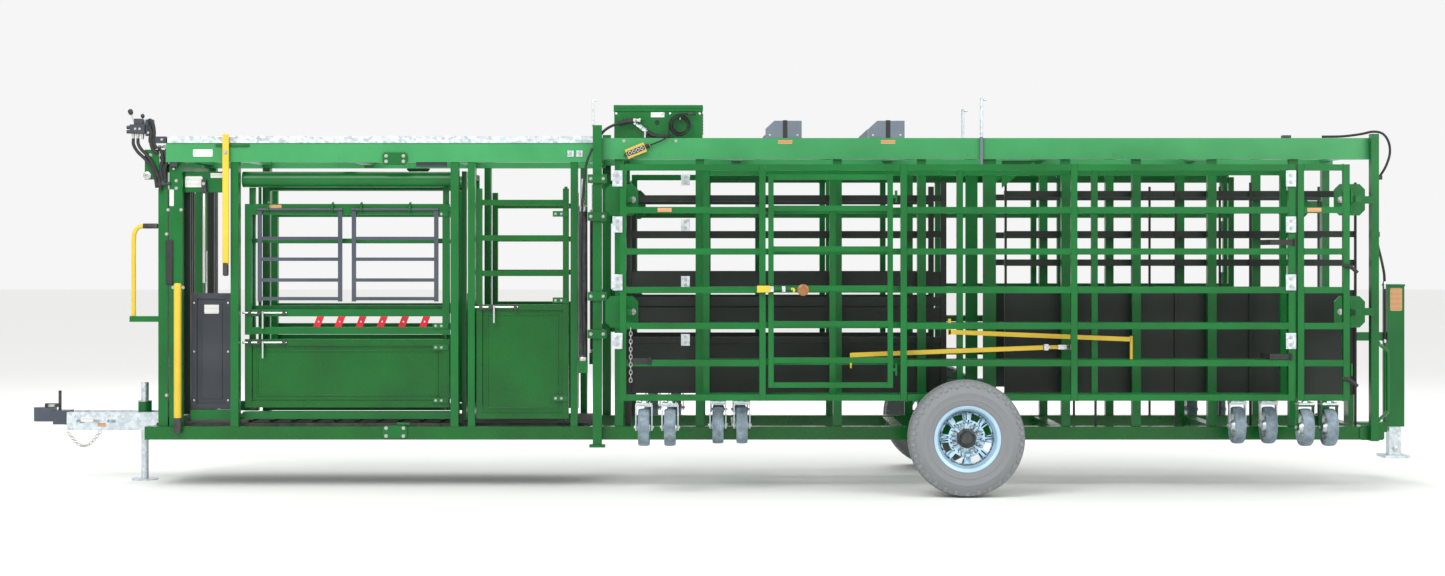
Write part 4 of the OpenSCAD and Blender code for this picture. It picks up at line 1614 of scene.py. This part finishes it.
@dataclass
class HeadEnd:
    """Hydraulic valve, linkages, labels and neck rod at the headgate, and the hitch hardware."""

    neck_rod_x: float = -3.588

    def build(self) -> None:
        """Builds every group at the front of the unit."""
        self.valve()
        self.linkage()
        self.post_hardware()
        self.neck_rod()
        self.door_panel()
        self.hitch()

    def valve(self) -> None:
        """Two-spool valve with a knobbed lever, and its hoses down to the post."""
        lever = Mould("valve_lever", STEEL, "frame")
        lever.rod((-4.086, -0.560, 2.600), (-4.050, -0.560, 2.475), 0.006)
        lever.rod((-4.010, -0.545, 2.575), (-3.985, -0.545, 2.470), 0.006)
        lever.make()
        knob = Mould("valve_knobs", BLACK, "frame")
        knob.lathe(
            (-4.092, -0.560, 2.606), (-0.27, 0, 0.96),
            [
                (0.006, -0.020), (0.012, -0.016), (0.0175, -0.004), (0.0185, 0.006), (0.014, 0.018),
                (0.004, 0.023)
            ],
            20
        )
        knob.lathe(
            (-4.012, -0.545, 2.580), (-0.23, 0, 0.97),
            [(0.006, -0.016), (0.013, -0.006), (0.014, 0.004), (0.010, 0.013), (0.003, 0.016)], 20
        )
        knob.make()
        block = Mould("valve_block", CHARCOAL, "frame", 0.004)
        block.block((-4.090, -0.598, 2.455), (-3.985, -0.530, 2.520))
        block.block((-4.062, -0.590, 2.520), (-4.000, -0.538, 2.560))
        block.block((-3.985, -0.585, 2.440), (-3.930, -0.540, 2.555))
        for z in (2.470, 2.500):
            block.rod((-4.118, -0.564, z), (-4.086, -0.564, z), 0.013)
        block.make()
        steel = Mould("valve_fittings", STEEL, "frame")
        for x in (-4.072, -4.040, -4.008):
            steel.lathe(
                (x, -0.564, 2.456), (0, 0, -1),
                [(0.013, 0), (0.013, 0.014), (0.010, 0.018), (0.010, 0.034), (0.0085, 0.038)], 6
            )
        for z in (2.462, 2.500, 2.538):
            steel.lathe((-3.960, -0.586, z), (0, -1, 0), [(0.012, 0), (0.012, 0.010), (0.008, 0.014)], 6)
        for x in (-4.050, -4.020):
            steel.bolt((x, -0.598, 2.488), (0, -1, 0), 0.008)
        steel.make()
        hoses = Mould("valve_hoses", STRAP, "frame")
        hoses.sweep(
            [
                (-4.072, -0.564, 2.422), (-4.070, -0.566, 2.380), (-4.040, -0.572, 2.330),
                (-3.995, -0.584, 2.290), (-3.950, -0.588, 2.240), (-3.920, -0.585, 2.180),
                (-3.905, -0.580, 2.080)
            ],
            0.0115, 12
        )
        hoses.sweep(
            [
                (-4.040, -0.564, 2.422), (-4.036, -0.570, 2.385), (-4.010, -0.584, 2.345),
                (-3.965, -0.590, 2.300), (-3.925, -0.590, 2.230), (-3.890, -0.584, 2.140),
                (-3.880, -0.578, 2.060)
            ],
            0.0115, 12
        )
        hoses.sweep(
            [
                (-3.960, -0.596, 2.538), (-3.944, -0.606, 2.548), (-3.925, -0.606, 2.520),
                (-3.918, -0.600, 2.460), (-3.925, -0.594, 2.400), (-3.905, -0.592, 2.350)
            ],
            0.0125, 12
        )
        hoses.sweep(
            [
                (-3.960, -0.596, 2.500), (-3.950, -0.604, 2.500), (-3.938, -0.604, 2.460),
                (-3.942, -0.600, 2.400), (-3.930, -0.594, 2.350), (-3.900, -0.590, 2.320)
            ],
            0.0125, 12
        )
        hoses.make()
        box = Mould("valve_bracket", CHARCOAL, "frame", 0.004)
        box.block((-3.960, -0.600, 2.392), (-3.835, -0.500, 2.436))
        box.make()
        clamp = Mould("valve_bracket_bolt", STEEL, "frame")
        clamp.bolt((-3.866, -0.6002, 2.414), (0, -1, 0), 0.008)
        clamp.make()

    def linkage(self) -> None:
        """Fittings, rods and rollers that pass behind the side plate."""
        steel = Mould("head_linkage_steel", STEEL, "frame")
        steel.bolt((-3.953, -0.5724, 2.306), (0, -1, 0), 0.012)
        steel.lathe(
            (-3.972, -0.5724, 2.166), (0, -1, 0),
            [(0.027, 0), (0.027, 0.012), (0.021, 0.016), (0.013, 0.016), (0.013, 0.006), (0.002, 0.006)], 28
        )
        for x, z in ((-3.900, 2.362), (-3.896, 2.310), (-3.890, 2.268)):
            steel.lathe(
                (x, -0.566, z), (1, 0, 0.1),
                [
                    (0.012, 0), (0.014, 0.004), (0.014, 0.016), (0.009, 0.020), (0.009, 0.038),
                    (0.012, 0.040), (0.012, 0.050)
                ],
                6
            )
        steel.lathe((-3.782, -0.566, 2.303), (0, -1, 0), [(0.011, 0), (0.011, 0.012), (0.007, 0.016)], 6)
        steel.lathe((-3.790, -0.566, 2.212), (0, -1, 0), [(0.011, 0), (0.011, 0.012), (0.007, 0.016)], 6)
        steel.make()
        dark = Mould("head_linkage_bar", CHARCOAL, "frame", 0.003)
        dark.block((-3.890, -0.584, 2.098), (-3.842, -0.5565, 2.250))
        dark.block((-3.880, -0.580, 2.255), (-3.842, -0.5565, 2.345))
        dark.block((-3.812, -0.592, 2.226), (-3.760, -0.564, 2.286))
        dark.rod((-3.892, -0.574, 2.110), (-3.812, -0.574, 2.110), 0.012)
        dark.make()
        hose = Mould("head_linkage_hoses", STRAP, "frame")
        hose.sweep(
            [
                (-3.892, -0.578, 2.352), (-3.870, -0.590, 2.330), (-3.862, -0.592, 2.270),
                (-3.878, -0.588, 2.210), (-3.866, -0.584, 2.140)
            ],
            0.010, 10
        )
        hose.sweep(
            [
                (-3.842, -0.576, 2.350), (-3.826, -0.588, 2.318), (-3.834, -0.588, 2.260),
                (-3.850, -0.586, 2.200), (-3.846, -0.584, 2.120)
            ],
            0.010, 10
        )
        hose.make()

    def post_hardware(self) -> None:
        """Bolts, rubber bump strip and the labels of the front posts and header."""
        bolts = Mould("front_post_bolts", STEEL, "frame")
        for x, z in (
            (-3.775, 2.130), (-3.775, 2.078), (-3.832, 1.928), (-3.742, 1.928), (-3.842, 1.760),
            (-3.842, 0.640)
        ):
            bolts.bolt((x, -0.5603, z), (0, -1, 0), 0.010)
        bolts.make()
        strip = Mould("post_bump_strip", STRAP, "frame", 0.006)
        strip.block((-3.846, -0.573, 1.408), (-3.796, -0.5595, 1.718))
        strip.make()
        for name, low, high, finish in (
            ("header", (-3.649, 2.296), (-3.513, 2.346), LABEL),
            ("crossbar", (-3.725, 2.085), (-3.604, 2.163), LABEL),
            ("crossbar_small", (-3.548, 2.152), (-3.452, 2.186), LABEL),
        ):
            y = -0.6005 if name == "header" else -0.5115
            sticker(f"label_{name}", finish, "frame", (low[0], y, low[1]), (high[0], y - 0.0012, high[1]))
        sticker("label_post", LABEL, "frame", (-3.822, -0.5603, 1.955), (-3.792, -0.5615, 2.070))
        sticker(
            "label_side", TAN_LABEL, "access_gate_near", (-3.152, -0.4893, 1.934), (-3.058, -0.4905, 1.964)
        )
        crossbar = Mould("head_crossbar", GREEN, "frame", 0.005)
        crossbar.block((-3.733, -0.511, 2.050), (-3.430, -0.470, 2.196))
        crossbar.make()

    def neck_rod(self) -> None:
        """Bright lift rod and clevis above the charcoal door."""
        rod = Mould("neck_lift_rod", CHROME, "neck_door")
        rod.rod((self.neck_rod_x, -0.461, 1.340), (self.neck_rod_x, -0.461, 1.640), 0.0085)
        rod.make()
        tube = Mould("neck_lift_tube", STEEL, "frame")
        outline = [(0.011, 0), (0.013, 0.004), (0.013, 0.620), (0.010, 0.626)]
        tube.lathe((self.neck_rod_x, -0.530, 1.420), (0, 0, 1), outline, 20)
        tube.make()
        clevis = Mould("neck_clevis", CHARCOAL, "frame", 0.003)
        clevis.block((-3.608, -0.548, 2.046), (-3.568, -0.512, 2.080))
        clevis.block((-3.604, -0.550, 2.080), (-3.572, -0.5115, 2.140))
        clevis.make()
        eye = Mould("neck_clevis_pin", STEEL, "frame")
        eye.bolt((self.neck_rod_x, -0.550, 2.110), (0, -1, 0), 0.010)
        eye.make()

    def door_panel(self) -> None:
        """Label and top cap screws of the charcoal neck door."""
        sticker("label_neck_door", LABEL, "neck_door", (-3.602, -0.4638, 1.205), (-3.500, -0.4652, 1.272))
        screws = Mould("neck_door_screws", STEEL, "neck_door")
        for x in (-3.671, -3.433):
            for z in (0.60, 0.94, 1.28):
                screws.lathe((x, -0.478, z), (0, -1, 0), SCREW_HEAD, 14)
        screws.make()

    def hitch(self) -> None:
        """Coupler jaw, handwheel, safety chain and pale labels on the draw tongue."""
        jaw = Mould("coupler_collar", STEEL, "frame")
        jaw.lathe(
            (-4.800, 0, 0.520), (0, 0, 1), [(0.030, 0), (0.034, 0.004), (0.034, 0.018), (0.026, 0.024)], 24
        )
        for z in (0.410, 0.470):
            jaw.bolt((-4.690, -0.0475, z), (0, -1, 0), 0.012)
        jaw.make()
        chain = Mould("safety_chain", STEEL, "frame")
        for k in range(22):
            t = k / 21
            x, z = -4.650 + 0.230 * t, 0.352 - 0.10 * math.sin(math.pi * t)
            ring = []
            for s in range(11):
                a = math.tau * s / 10
                ring.append(
                    (
                        x + 0.013 * math.cos(a), -0.138 + (0 if k % 2 else 0.008 * math.sin(a)),
                        z + (0.008 * math.sin(a) if k % 2 else 0)
                    )
                )
            chain.sweep(ring, 0.0028, 6)
        chain.make()
        sticker("label_tongue", LABEL, "frame", (-4.560, -0.1303, 0.425), (-4.470, -0.1315, 0.455))
        sticker("label_tongue_tan", TAN_LABEL, "frame", (-4.440, -0.1303, 0.390), (-4.380, -0.1315, 0.415))


# ---------------------------------------------------------------- roof, masts and rear


@dataclass
class RoofGear:
    """Power box fittings, hoses, hood straps and mast hardware."""

    mast_x: float = -0.945
    mast_y: float = 0.640
    rod_hook_x: float = -0.877

    def build(self) -> None:
        """Builds every group on top of the unit."""
        self.power_box()
        self.hoses()
        self.hoods()
        self.masts()
        self.beam_hardware()

    def power_box(self) -> None:
        """Lid edge, vents, screws, grommet and a blank label."""
        lid = Mould("power_box_lid", GREEN, "frame", 0.004)
        lid.block((-0.738, -0.564, 2.632), (-0.118, -0.326, 2.656))
        lid.block((-0.738, -0.564, 2.610), (-0.118, -0.5585, 2.632))
        lid.make()
        screws = Mould("power_box_screws", STEEL, "frame")
        for x, z in ((-0.719, 2.596), (-0.400, 2.596), (-0.345, 2.596), (-0.140, 2.596)):
            screws.lathe((x, -0.5583, z), (0, -1, 0), [(0.009, 0), (0.008, 0.003), (0.003, 0.005)], 16)
        screws.make()
        ring = Mould("power_box_grommet", STRAP, "frame")
        ring.lathe(
            (-0.437, -0.5583, 2.536), (0, -1, 0),
            [(0.016, 0), (0.016, 0.004), (0.011, 0.006), (0.008, 0.003), (0.002, 0.0025)], 24
        )
        ring.make()
        sticker("label_power_box", LABEL, "frame", (-0.480, -0.5583, 2.570), (-0.385, -0.5595, 2.605))
        vents = Mould("power_box_vents", CHARCOAL, "frame", 0.001)
        for k in range(7):
            z = 2.460 + k * 0.021
            vents.block((-0.1222, -0.530, z), (-0.1170, -0.360, z + 0.009))
        vents.make()

    def hoses(self) -> None:
        """Two jacketed hoses from the mast to the box, with bright couplings."""
        hose = Mould("roof_hoses", STRAP, "frame")
        for dy in (0.0, 0.030):
            y = -0.640 + dy
            hose.sweep(
                [
                    (-0.820, y, 2.452), (-0.790, y, 2.482), (-0.745, y, 2.508), (-0.690, y + 0.01, 2.526),
                    (-0.640, y + 0.012, 2.536)
                ],
                0.0085, 10
            )
        hose.sweep(
            [
                (-0.506, -0.592, 2.470), (-0.470, -0.592, 2.446), (-0.425, -0.592, 2.437),
                (-0.375, -0.590, 2.4365), (-0.330, -0.588, 2.4365)
            ],
            0.0105, 12
        )
        hose.sweep(
            [
                (-0.500, -0.570, 2.474), (-0.462, -0.570, 2.452), (-0.415, -0.572, 2.440),
                (-0.375, -0.568, 2.4365), (-0.330, -0.566, 2.4365)
            ],
            0.0095, 12
        )
        hose.make()
        jacket = Mould("roof_hose_jacket", STRAP, "frame")
        jacket.sweep(
            [
                (-0.700, -0.614, 2.522), (-0.660, -0.612, 2.532), (-0.625, -0.612, 2.540),
                (-0.598, -0.610, 2.544)
            ],
            0.0185, 16
        )
        jacket.make()
        silver = Mould("roof_hose_couplings", CHROME, "frame")
        outline = [
            (0.012, 0), (0.015, 0.004), (0.015, 0.020), (0.011, 0.024), (0.011, 0.040), (0.014, 0.044),
            (0.014, 0.052), (0.010, 0.056)
        ]
        silver.lathe((-0.602, -0.616, 2.545), (1, 0, 0.06), outline, 6)
        silver.lathe((-0.596, -0.594, 2.538), (0.8, 0, -0.6), outline, 6)
        silver.lathe((-0.556, -0.594, 2.508), (0.8, 0, -0.6), outline, 6)
        silver.lathe((-0.580, -0.576, 2.520), (0.8, 0, -0.6), outline, 16)
        silver.lathe((-0.540, -0.576, 2.494), (0.8, 0, -0.6), outline, 6)
        silver.make()
        clips = Mould("roof_hose_clips", CHROME, "frame", 0.001)
        clips.block((-0.525, -0.606, 2.4262), (-0.513, -0.556, 2.482))
        clips.make()

    def hoods(self) -> None:
        """Straps over the stowage hoods, their handles and tan labels."""
        strap = Mould("hood_straps", STRAP, "frame", 0.0008)
        screws = Mould("hood_screws", STEEL, "frame")
        for x in (0.317, 1.030):
            for side in SIDES:
                low, high = sorted((side * 0.5955, side * 0.5985))
                strap.block((x + 0.120, low, 2.4262), (x + 0.150, high, 2.5485))
                inner, outer = sorted((side * 0.505, side * 0.5985))
                strap.block((x + 0.120, inner, 2.5455), (x + 0.150, outer, 2.5485))
                for dx in (0.030, 0.220):
                    screws.lathe(
                        (x + dx, side * 0.5953, 2.445), (0, side, 0),
                        SCREW_HEAD, 14
                    )
            sticker(
                f"label_hood_{int(x * 1000)}", TAN_LABEL, "frame", (x + 0.085, -0.6003, 2.385),
                (x + 0.185, -0.6015, 2.412)
            )
        strap.make()
        screws.make()
        hooks = Mould("mast_rod_hooks", ZINC, "frame")
        for side in SIDES:
            hooks.rod((1.810, side * 0.615, 2.430), (1.810, side * 0.615, 2.7005), 0.0114)
            hooks.rod((1.799, side * 0.615, 2.688), (1.845, side * 0.615, 2.688), 0.006)
        x = self.rod_hook_x
        hooks.rod((x, -0.640, 2.500), (x, -0.640, 2.690), 0.008)
        hooks.rod((x - 0.002, -0.640, 2.683), (x + 0.028, -0.640, 2.683), 0.006)
        hooks.make()

    def masts(self) -> None:
        """Lift hoses, gland nuts, bright rods and collar rings on both masts."""
        for side in SIDES:
            tag = "near" if side < 0 else "far"
            hose = Mould(f"mast_hoses_{tag}", STRAP, "frame")
            hose.sweep(
                [
                    (-0.945, side * 0.676, 0.930), (-0.955, side * 0.690, 1.200),
                    (-0.960, side * 0.690, 1.600), (-0.945, side * 0.686, 2.000),
                    (-0.925, side * 0.680, 2.220), (-0.880, side * 0.676, 2.350)
                ],
                0.008, 10
            )
            hose.make()
            nuts = Mould(f"mast_gland_{tag}", STEEL, "frame")
            nuts.lathe(
                (self.mast_x, side * self.mast_y, 1.945), (0, 0, 1),
                [(0.030, -0.030), (0.031, -0.026), (0.031, 0), (0.024, 0.010), (0.017, 0.012)], 28
            )
            foot = [(0.031, 0), (0.031, 0.020), (0.0285, 0.026)]
            nuts.lathe((self.mast_x, side * self.mast_y, 0.884), (0, 0, 1), foot, 28)
            nuts.make()
            jacket = Mould(f"mast_cylinder_{tag}", BLACK, "frame")
            jacket.rod(
                (self.mast_x, side * self.mast_y, 0.905), (self.mast_x, side * self.mast_y, 1.918), 0.0286, 32
            )
            jacket.make()
            rod = Mould(f"mast_rod_{tag}", CHROME, "frame")
            rod.rod(
                (self.mast_x, side * self.mast_y, 1.950), (self.mast_x, side * self.mast_y, 2.142), 0.0158, 24
            )
            rod.make()
            bolts = Mould(f"mast_bolts_{tag}", STEEL, "frame")
            for z in (1.070, 1.330, 1.880, 2.140):
                for x in (-0.889, -0.803):
                    bolts.bolt((x, side * 0.6902, z), (0, side, 0), 0.010)
            bolts.make()

    def beam_hardware(self) -> None:
        """Zinc washers and bolts on the upper beams, and loose nuts of the header."""
        plates = Mould("beam_washers", ZINC, "frame", 0.001)
        bolts = Mould("beam_bolts", STEEL, "frame")
        for side in SIDES:
            for x in (-1.034, -0.972):
                low, high = sorted((side * 0.6003, side * 0.6050))
                plates.block((x - 0.022, low, 2.294), (x + 0.022, high, 2.338))
                bolts.bolt((x, side * 0.6050, 2.316), (0, side, 0), 0.010)
            for x in (-0.665, -0.305):
                bolts.bolt((x, side * 0.6003, 2.404), (0, side, 0), 0.010)
            for x in (-2.310, -2.190):
                for z in (2.262, 2.300):
                    bolts.bolt((x, side * 0.6143, z), (0, side, 0), 0.011)
                for z in (0.362, 0.416):
                    bolts.bolt((x, side * 0.6143, z), (0, side, 0), 0.011)
        plates.make()
        bolts.make()
        arm = Mould("squeeze_link_arm", GREEN, "frame", 0.003)
        arm.block((-2.240, -0.6005, 0.436), (-2.150, -0.560, 0.452))
        arm.block((-3.492, -0.6115, 2.364), (-3.259, -0.6005, 2.382))
        arm.make()
        pad = Mould("grey_link_plate", GREY, "frame", 0.003)
        pad.block((-2.110, -0.566, 2.225), (-1.896, -0.556, 2.2575))
        pad.make()


@dataclass
class RearEnd:
    """Labels, pin, guard and hoses of the rear jack, and the front jack's collar."""

    front_jack_x: float = -4.134

    def build(self) -> None:
        """Builds the jack hardware."""
        self.rear_jack()
        self.rear_hoses()
        self.front_jack()
        self.gate_labels()

    def rear_jack(self) -> None:
        """Blank tan label, top cap, pivot pin and bent guard bar."""
        sticker("label_rear_jack", TAN_LABEL, "frame", (4.800, -0.0613, 1.215), (4.886, -0.0627, 1.378))
        cap = Mould("rear_jack_cap", GREEN, "frame", 0.002)
        cap.block((4.776, -0.066, 1.392), (4.908, 0.066, 1.4045))
        cap.make()
        pin = Mould("rear_jack_pin", STEEL, "rear_jack")
        pin.lathe(
            (4.842, -0.0435, 0.224), (0, -1, 0), [(0.018, 0), (0.018, 0.006), (0.011, 0.008), (0.011, 0.013)],
            20
        )
        pin.make()
        guard = Mould("rear_jack_guard", GREEN, "frame")
        guard.sweep(
            [
                (4.548, -0.640, 1.010), (4.575, -0.600, 0.990), (4.625, -0.560, 0.955),
                (4.640, -0.545, 0.900), (4.640, -0.545, 0.560), (4.628, -0.560, 0.520), (4.548, -0.640, 0.470)
            ],
            0.012, 12
        )
        guard.make()

    def rear_hoses(self) -> None:
        """Hose over the rear beam and the one that drops to the jack's top fitting."""
        hose = Mould("rear_hoses", STRAP, "frame")
        hose.sweep(
            [
                (4.180, -0.560, 2.436), (4.320, -0.570, 2.438), (4.440, -0.590, 2.452),
                (4.520, -0.610, 2.468), (4.590, -0.600, 2.455), (4.640, -0.570, 2.400),
                (4.652, -0.560, 2.320), (4.620, -0.575, 2.230), (4.565, -0.600, 2.150)
            ],
            0.0085, 10
        )
        hose.sweep(
            [
                (4.562, -0.560, 1.760), (4.590, -0.480, 1.690), (4.650, -0.340, 1.610),
                (4.710, -0.180, 1.550), (4.752, -0.080, 1.480), (4.762, -0.056, 1.420)
            ],
            0.0095, 12
        )
        hose.make()
        clip = Mould("rear_hose_clips", BLACK, "frame", 0.002)
        clip.block((3.900, -0.590, 2.4255), (3.960, -0.540, 2.445))
        clip.block((4.546, -0.600, 1.740), (4.572, -0.545, 1.775))
        clip.block((4.546, -0.640, 2.135), (4.578, -0.590, 2.165))
        clip.make()
        fit = Mould("rear_hose_fittings", CHROME, "frame")
        fit.lathe(
            (4.763, -0.054, 1.425), (0, 0, -1),
            [(0.011, 0), (0.0145, 0.004), (0.0145, 0.022), (0.011, 0.026), (0.011, 0.050), (0.009, 0.054)], 6
        )
        fit.lathe(
            (4.765, -0.050, 1.010), (0, 0, -1), [(0.011, 0), (0.015, 0.004), (0.015, 0.020), (0.011, 0.024)],
            6
        )
        fit.make()
        pipe = Mould("rear_jack_pipe", STRAP, "frame")
        pipe.sweep(
            [(4.763, -0.054, 1.372), (4.764, -0.053, 1.240), (4.765, -0.051, 1.080), (4.765, -0.050, 0.992)],
            0.0085, 12
        )
        pipe.make()

    def front_jack(self) -> None:
        """Collar bolts, pull pin and side crank stub of the front jack."""
        steel = Mould("front_jack_hardware", STEEL, "frame")
        steel.rod((self.front_jack_x, -0.075, 0.430), (self.front_jack_x, -0.048, 0.430), 0.008)
        pull = [(-0.074, 0.430), (-0.092, 0.434), (-0.100, 0.420), (-0.092, 0.406), (-0.078, 0.408)]
        steel.sweep([(self.front_jack_x, y, z) for y, z in pull], 0.003, 8)
        steel.lathe(
            (self.front_jack_x, 0, 0.563), (0, 0, 1), [(0.050, 0), (0.050, 0.006), (0.030, 0.010)], 28
        )
        steel.make()

    def gate_labels(self) -> None:
        """Blank tan labels on the second rails of the stowed gates."""
        for name, x in (("front", -0.420), ("rear", 3.960)):
            body = "end_gate_near" if name == "rear" else "frame"
            sticker(f"label_gate_{name}", TAN_LABEL, body, (x, -1.0213, 1.904), (x + 0.095, -1.0225, 1.932))


def sticker(name: str, finish: Finish, body: str, low: Point, high: Point) -> None:
    """A thin vinyl label with rounded corners, facing along Y.

    Args:
        name: the piece's name.
        finish: what it is printed in.
        body: what it rides on.
        low: the corner on the surface.
        high: the opposite corner, on the outer face.
    """
    (x0, y0, z0), (x1, y1, z1) = low, high
    r = min(x1 - x0, z1 - z0) * 0.12
    outline = []
    for cx, cz, start in ((x1 - r, z1 - r, 0), (x0 + r, z1 - r, 1), (x0 + r, z0 + r, 2), (x1 - r, z0 + r, 3)):
        for k in range(4):
            a = (start + k / 3) * math.pi / 2
            outline.append((cx + r * math.cos(a), cz + r * math.sin(a)))
    mould = Mould(name, finish, body, 0.0, False)
    mould.slab([(x, y0, z) for x, z in outline], [(x, y1, z) for x, z in outline]).make()


# ---------------------------------------------------------------- main


def main() -> None:
    """Builds the studio, the cord and every sub-assembly in turn."""
    logging.basicConfig(level=logging.INFO, format="%(name)s: %(message)s")
    Studio().build()
    HandsetCord().build()
    for assembly in (
        PackedParts(), Handset(), RunningGear(), GateHardware(), ChuteSides(), Levers(), HeadEnd(),
        RoofGear(), RearEnd()
    ):
        assembly.build()
        LOG.info("%s done", type(assembly).__name__)


if __name__ == "__main__":
    main()
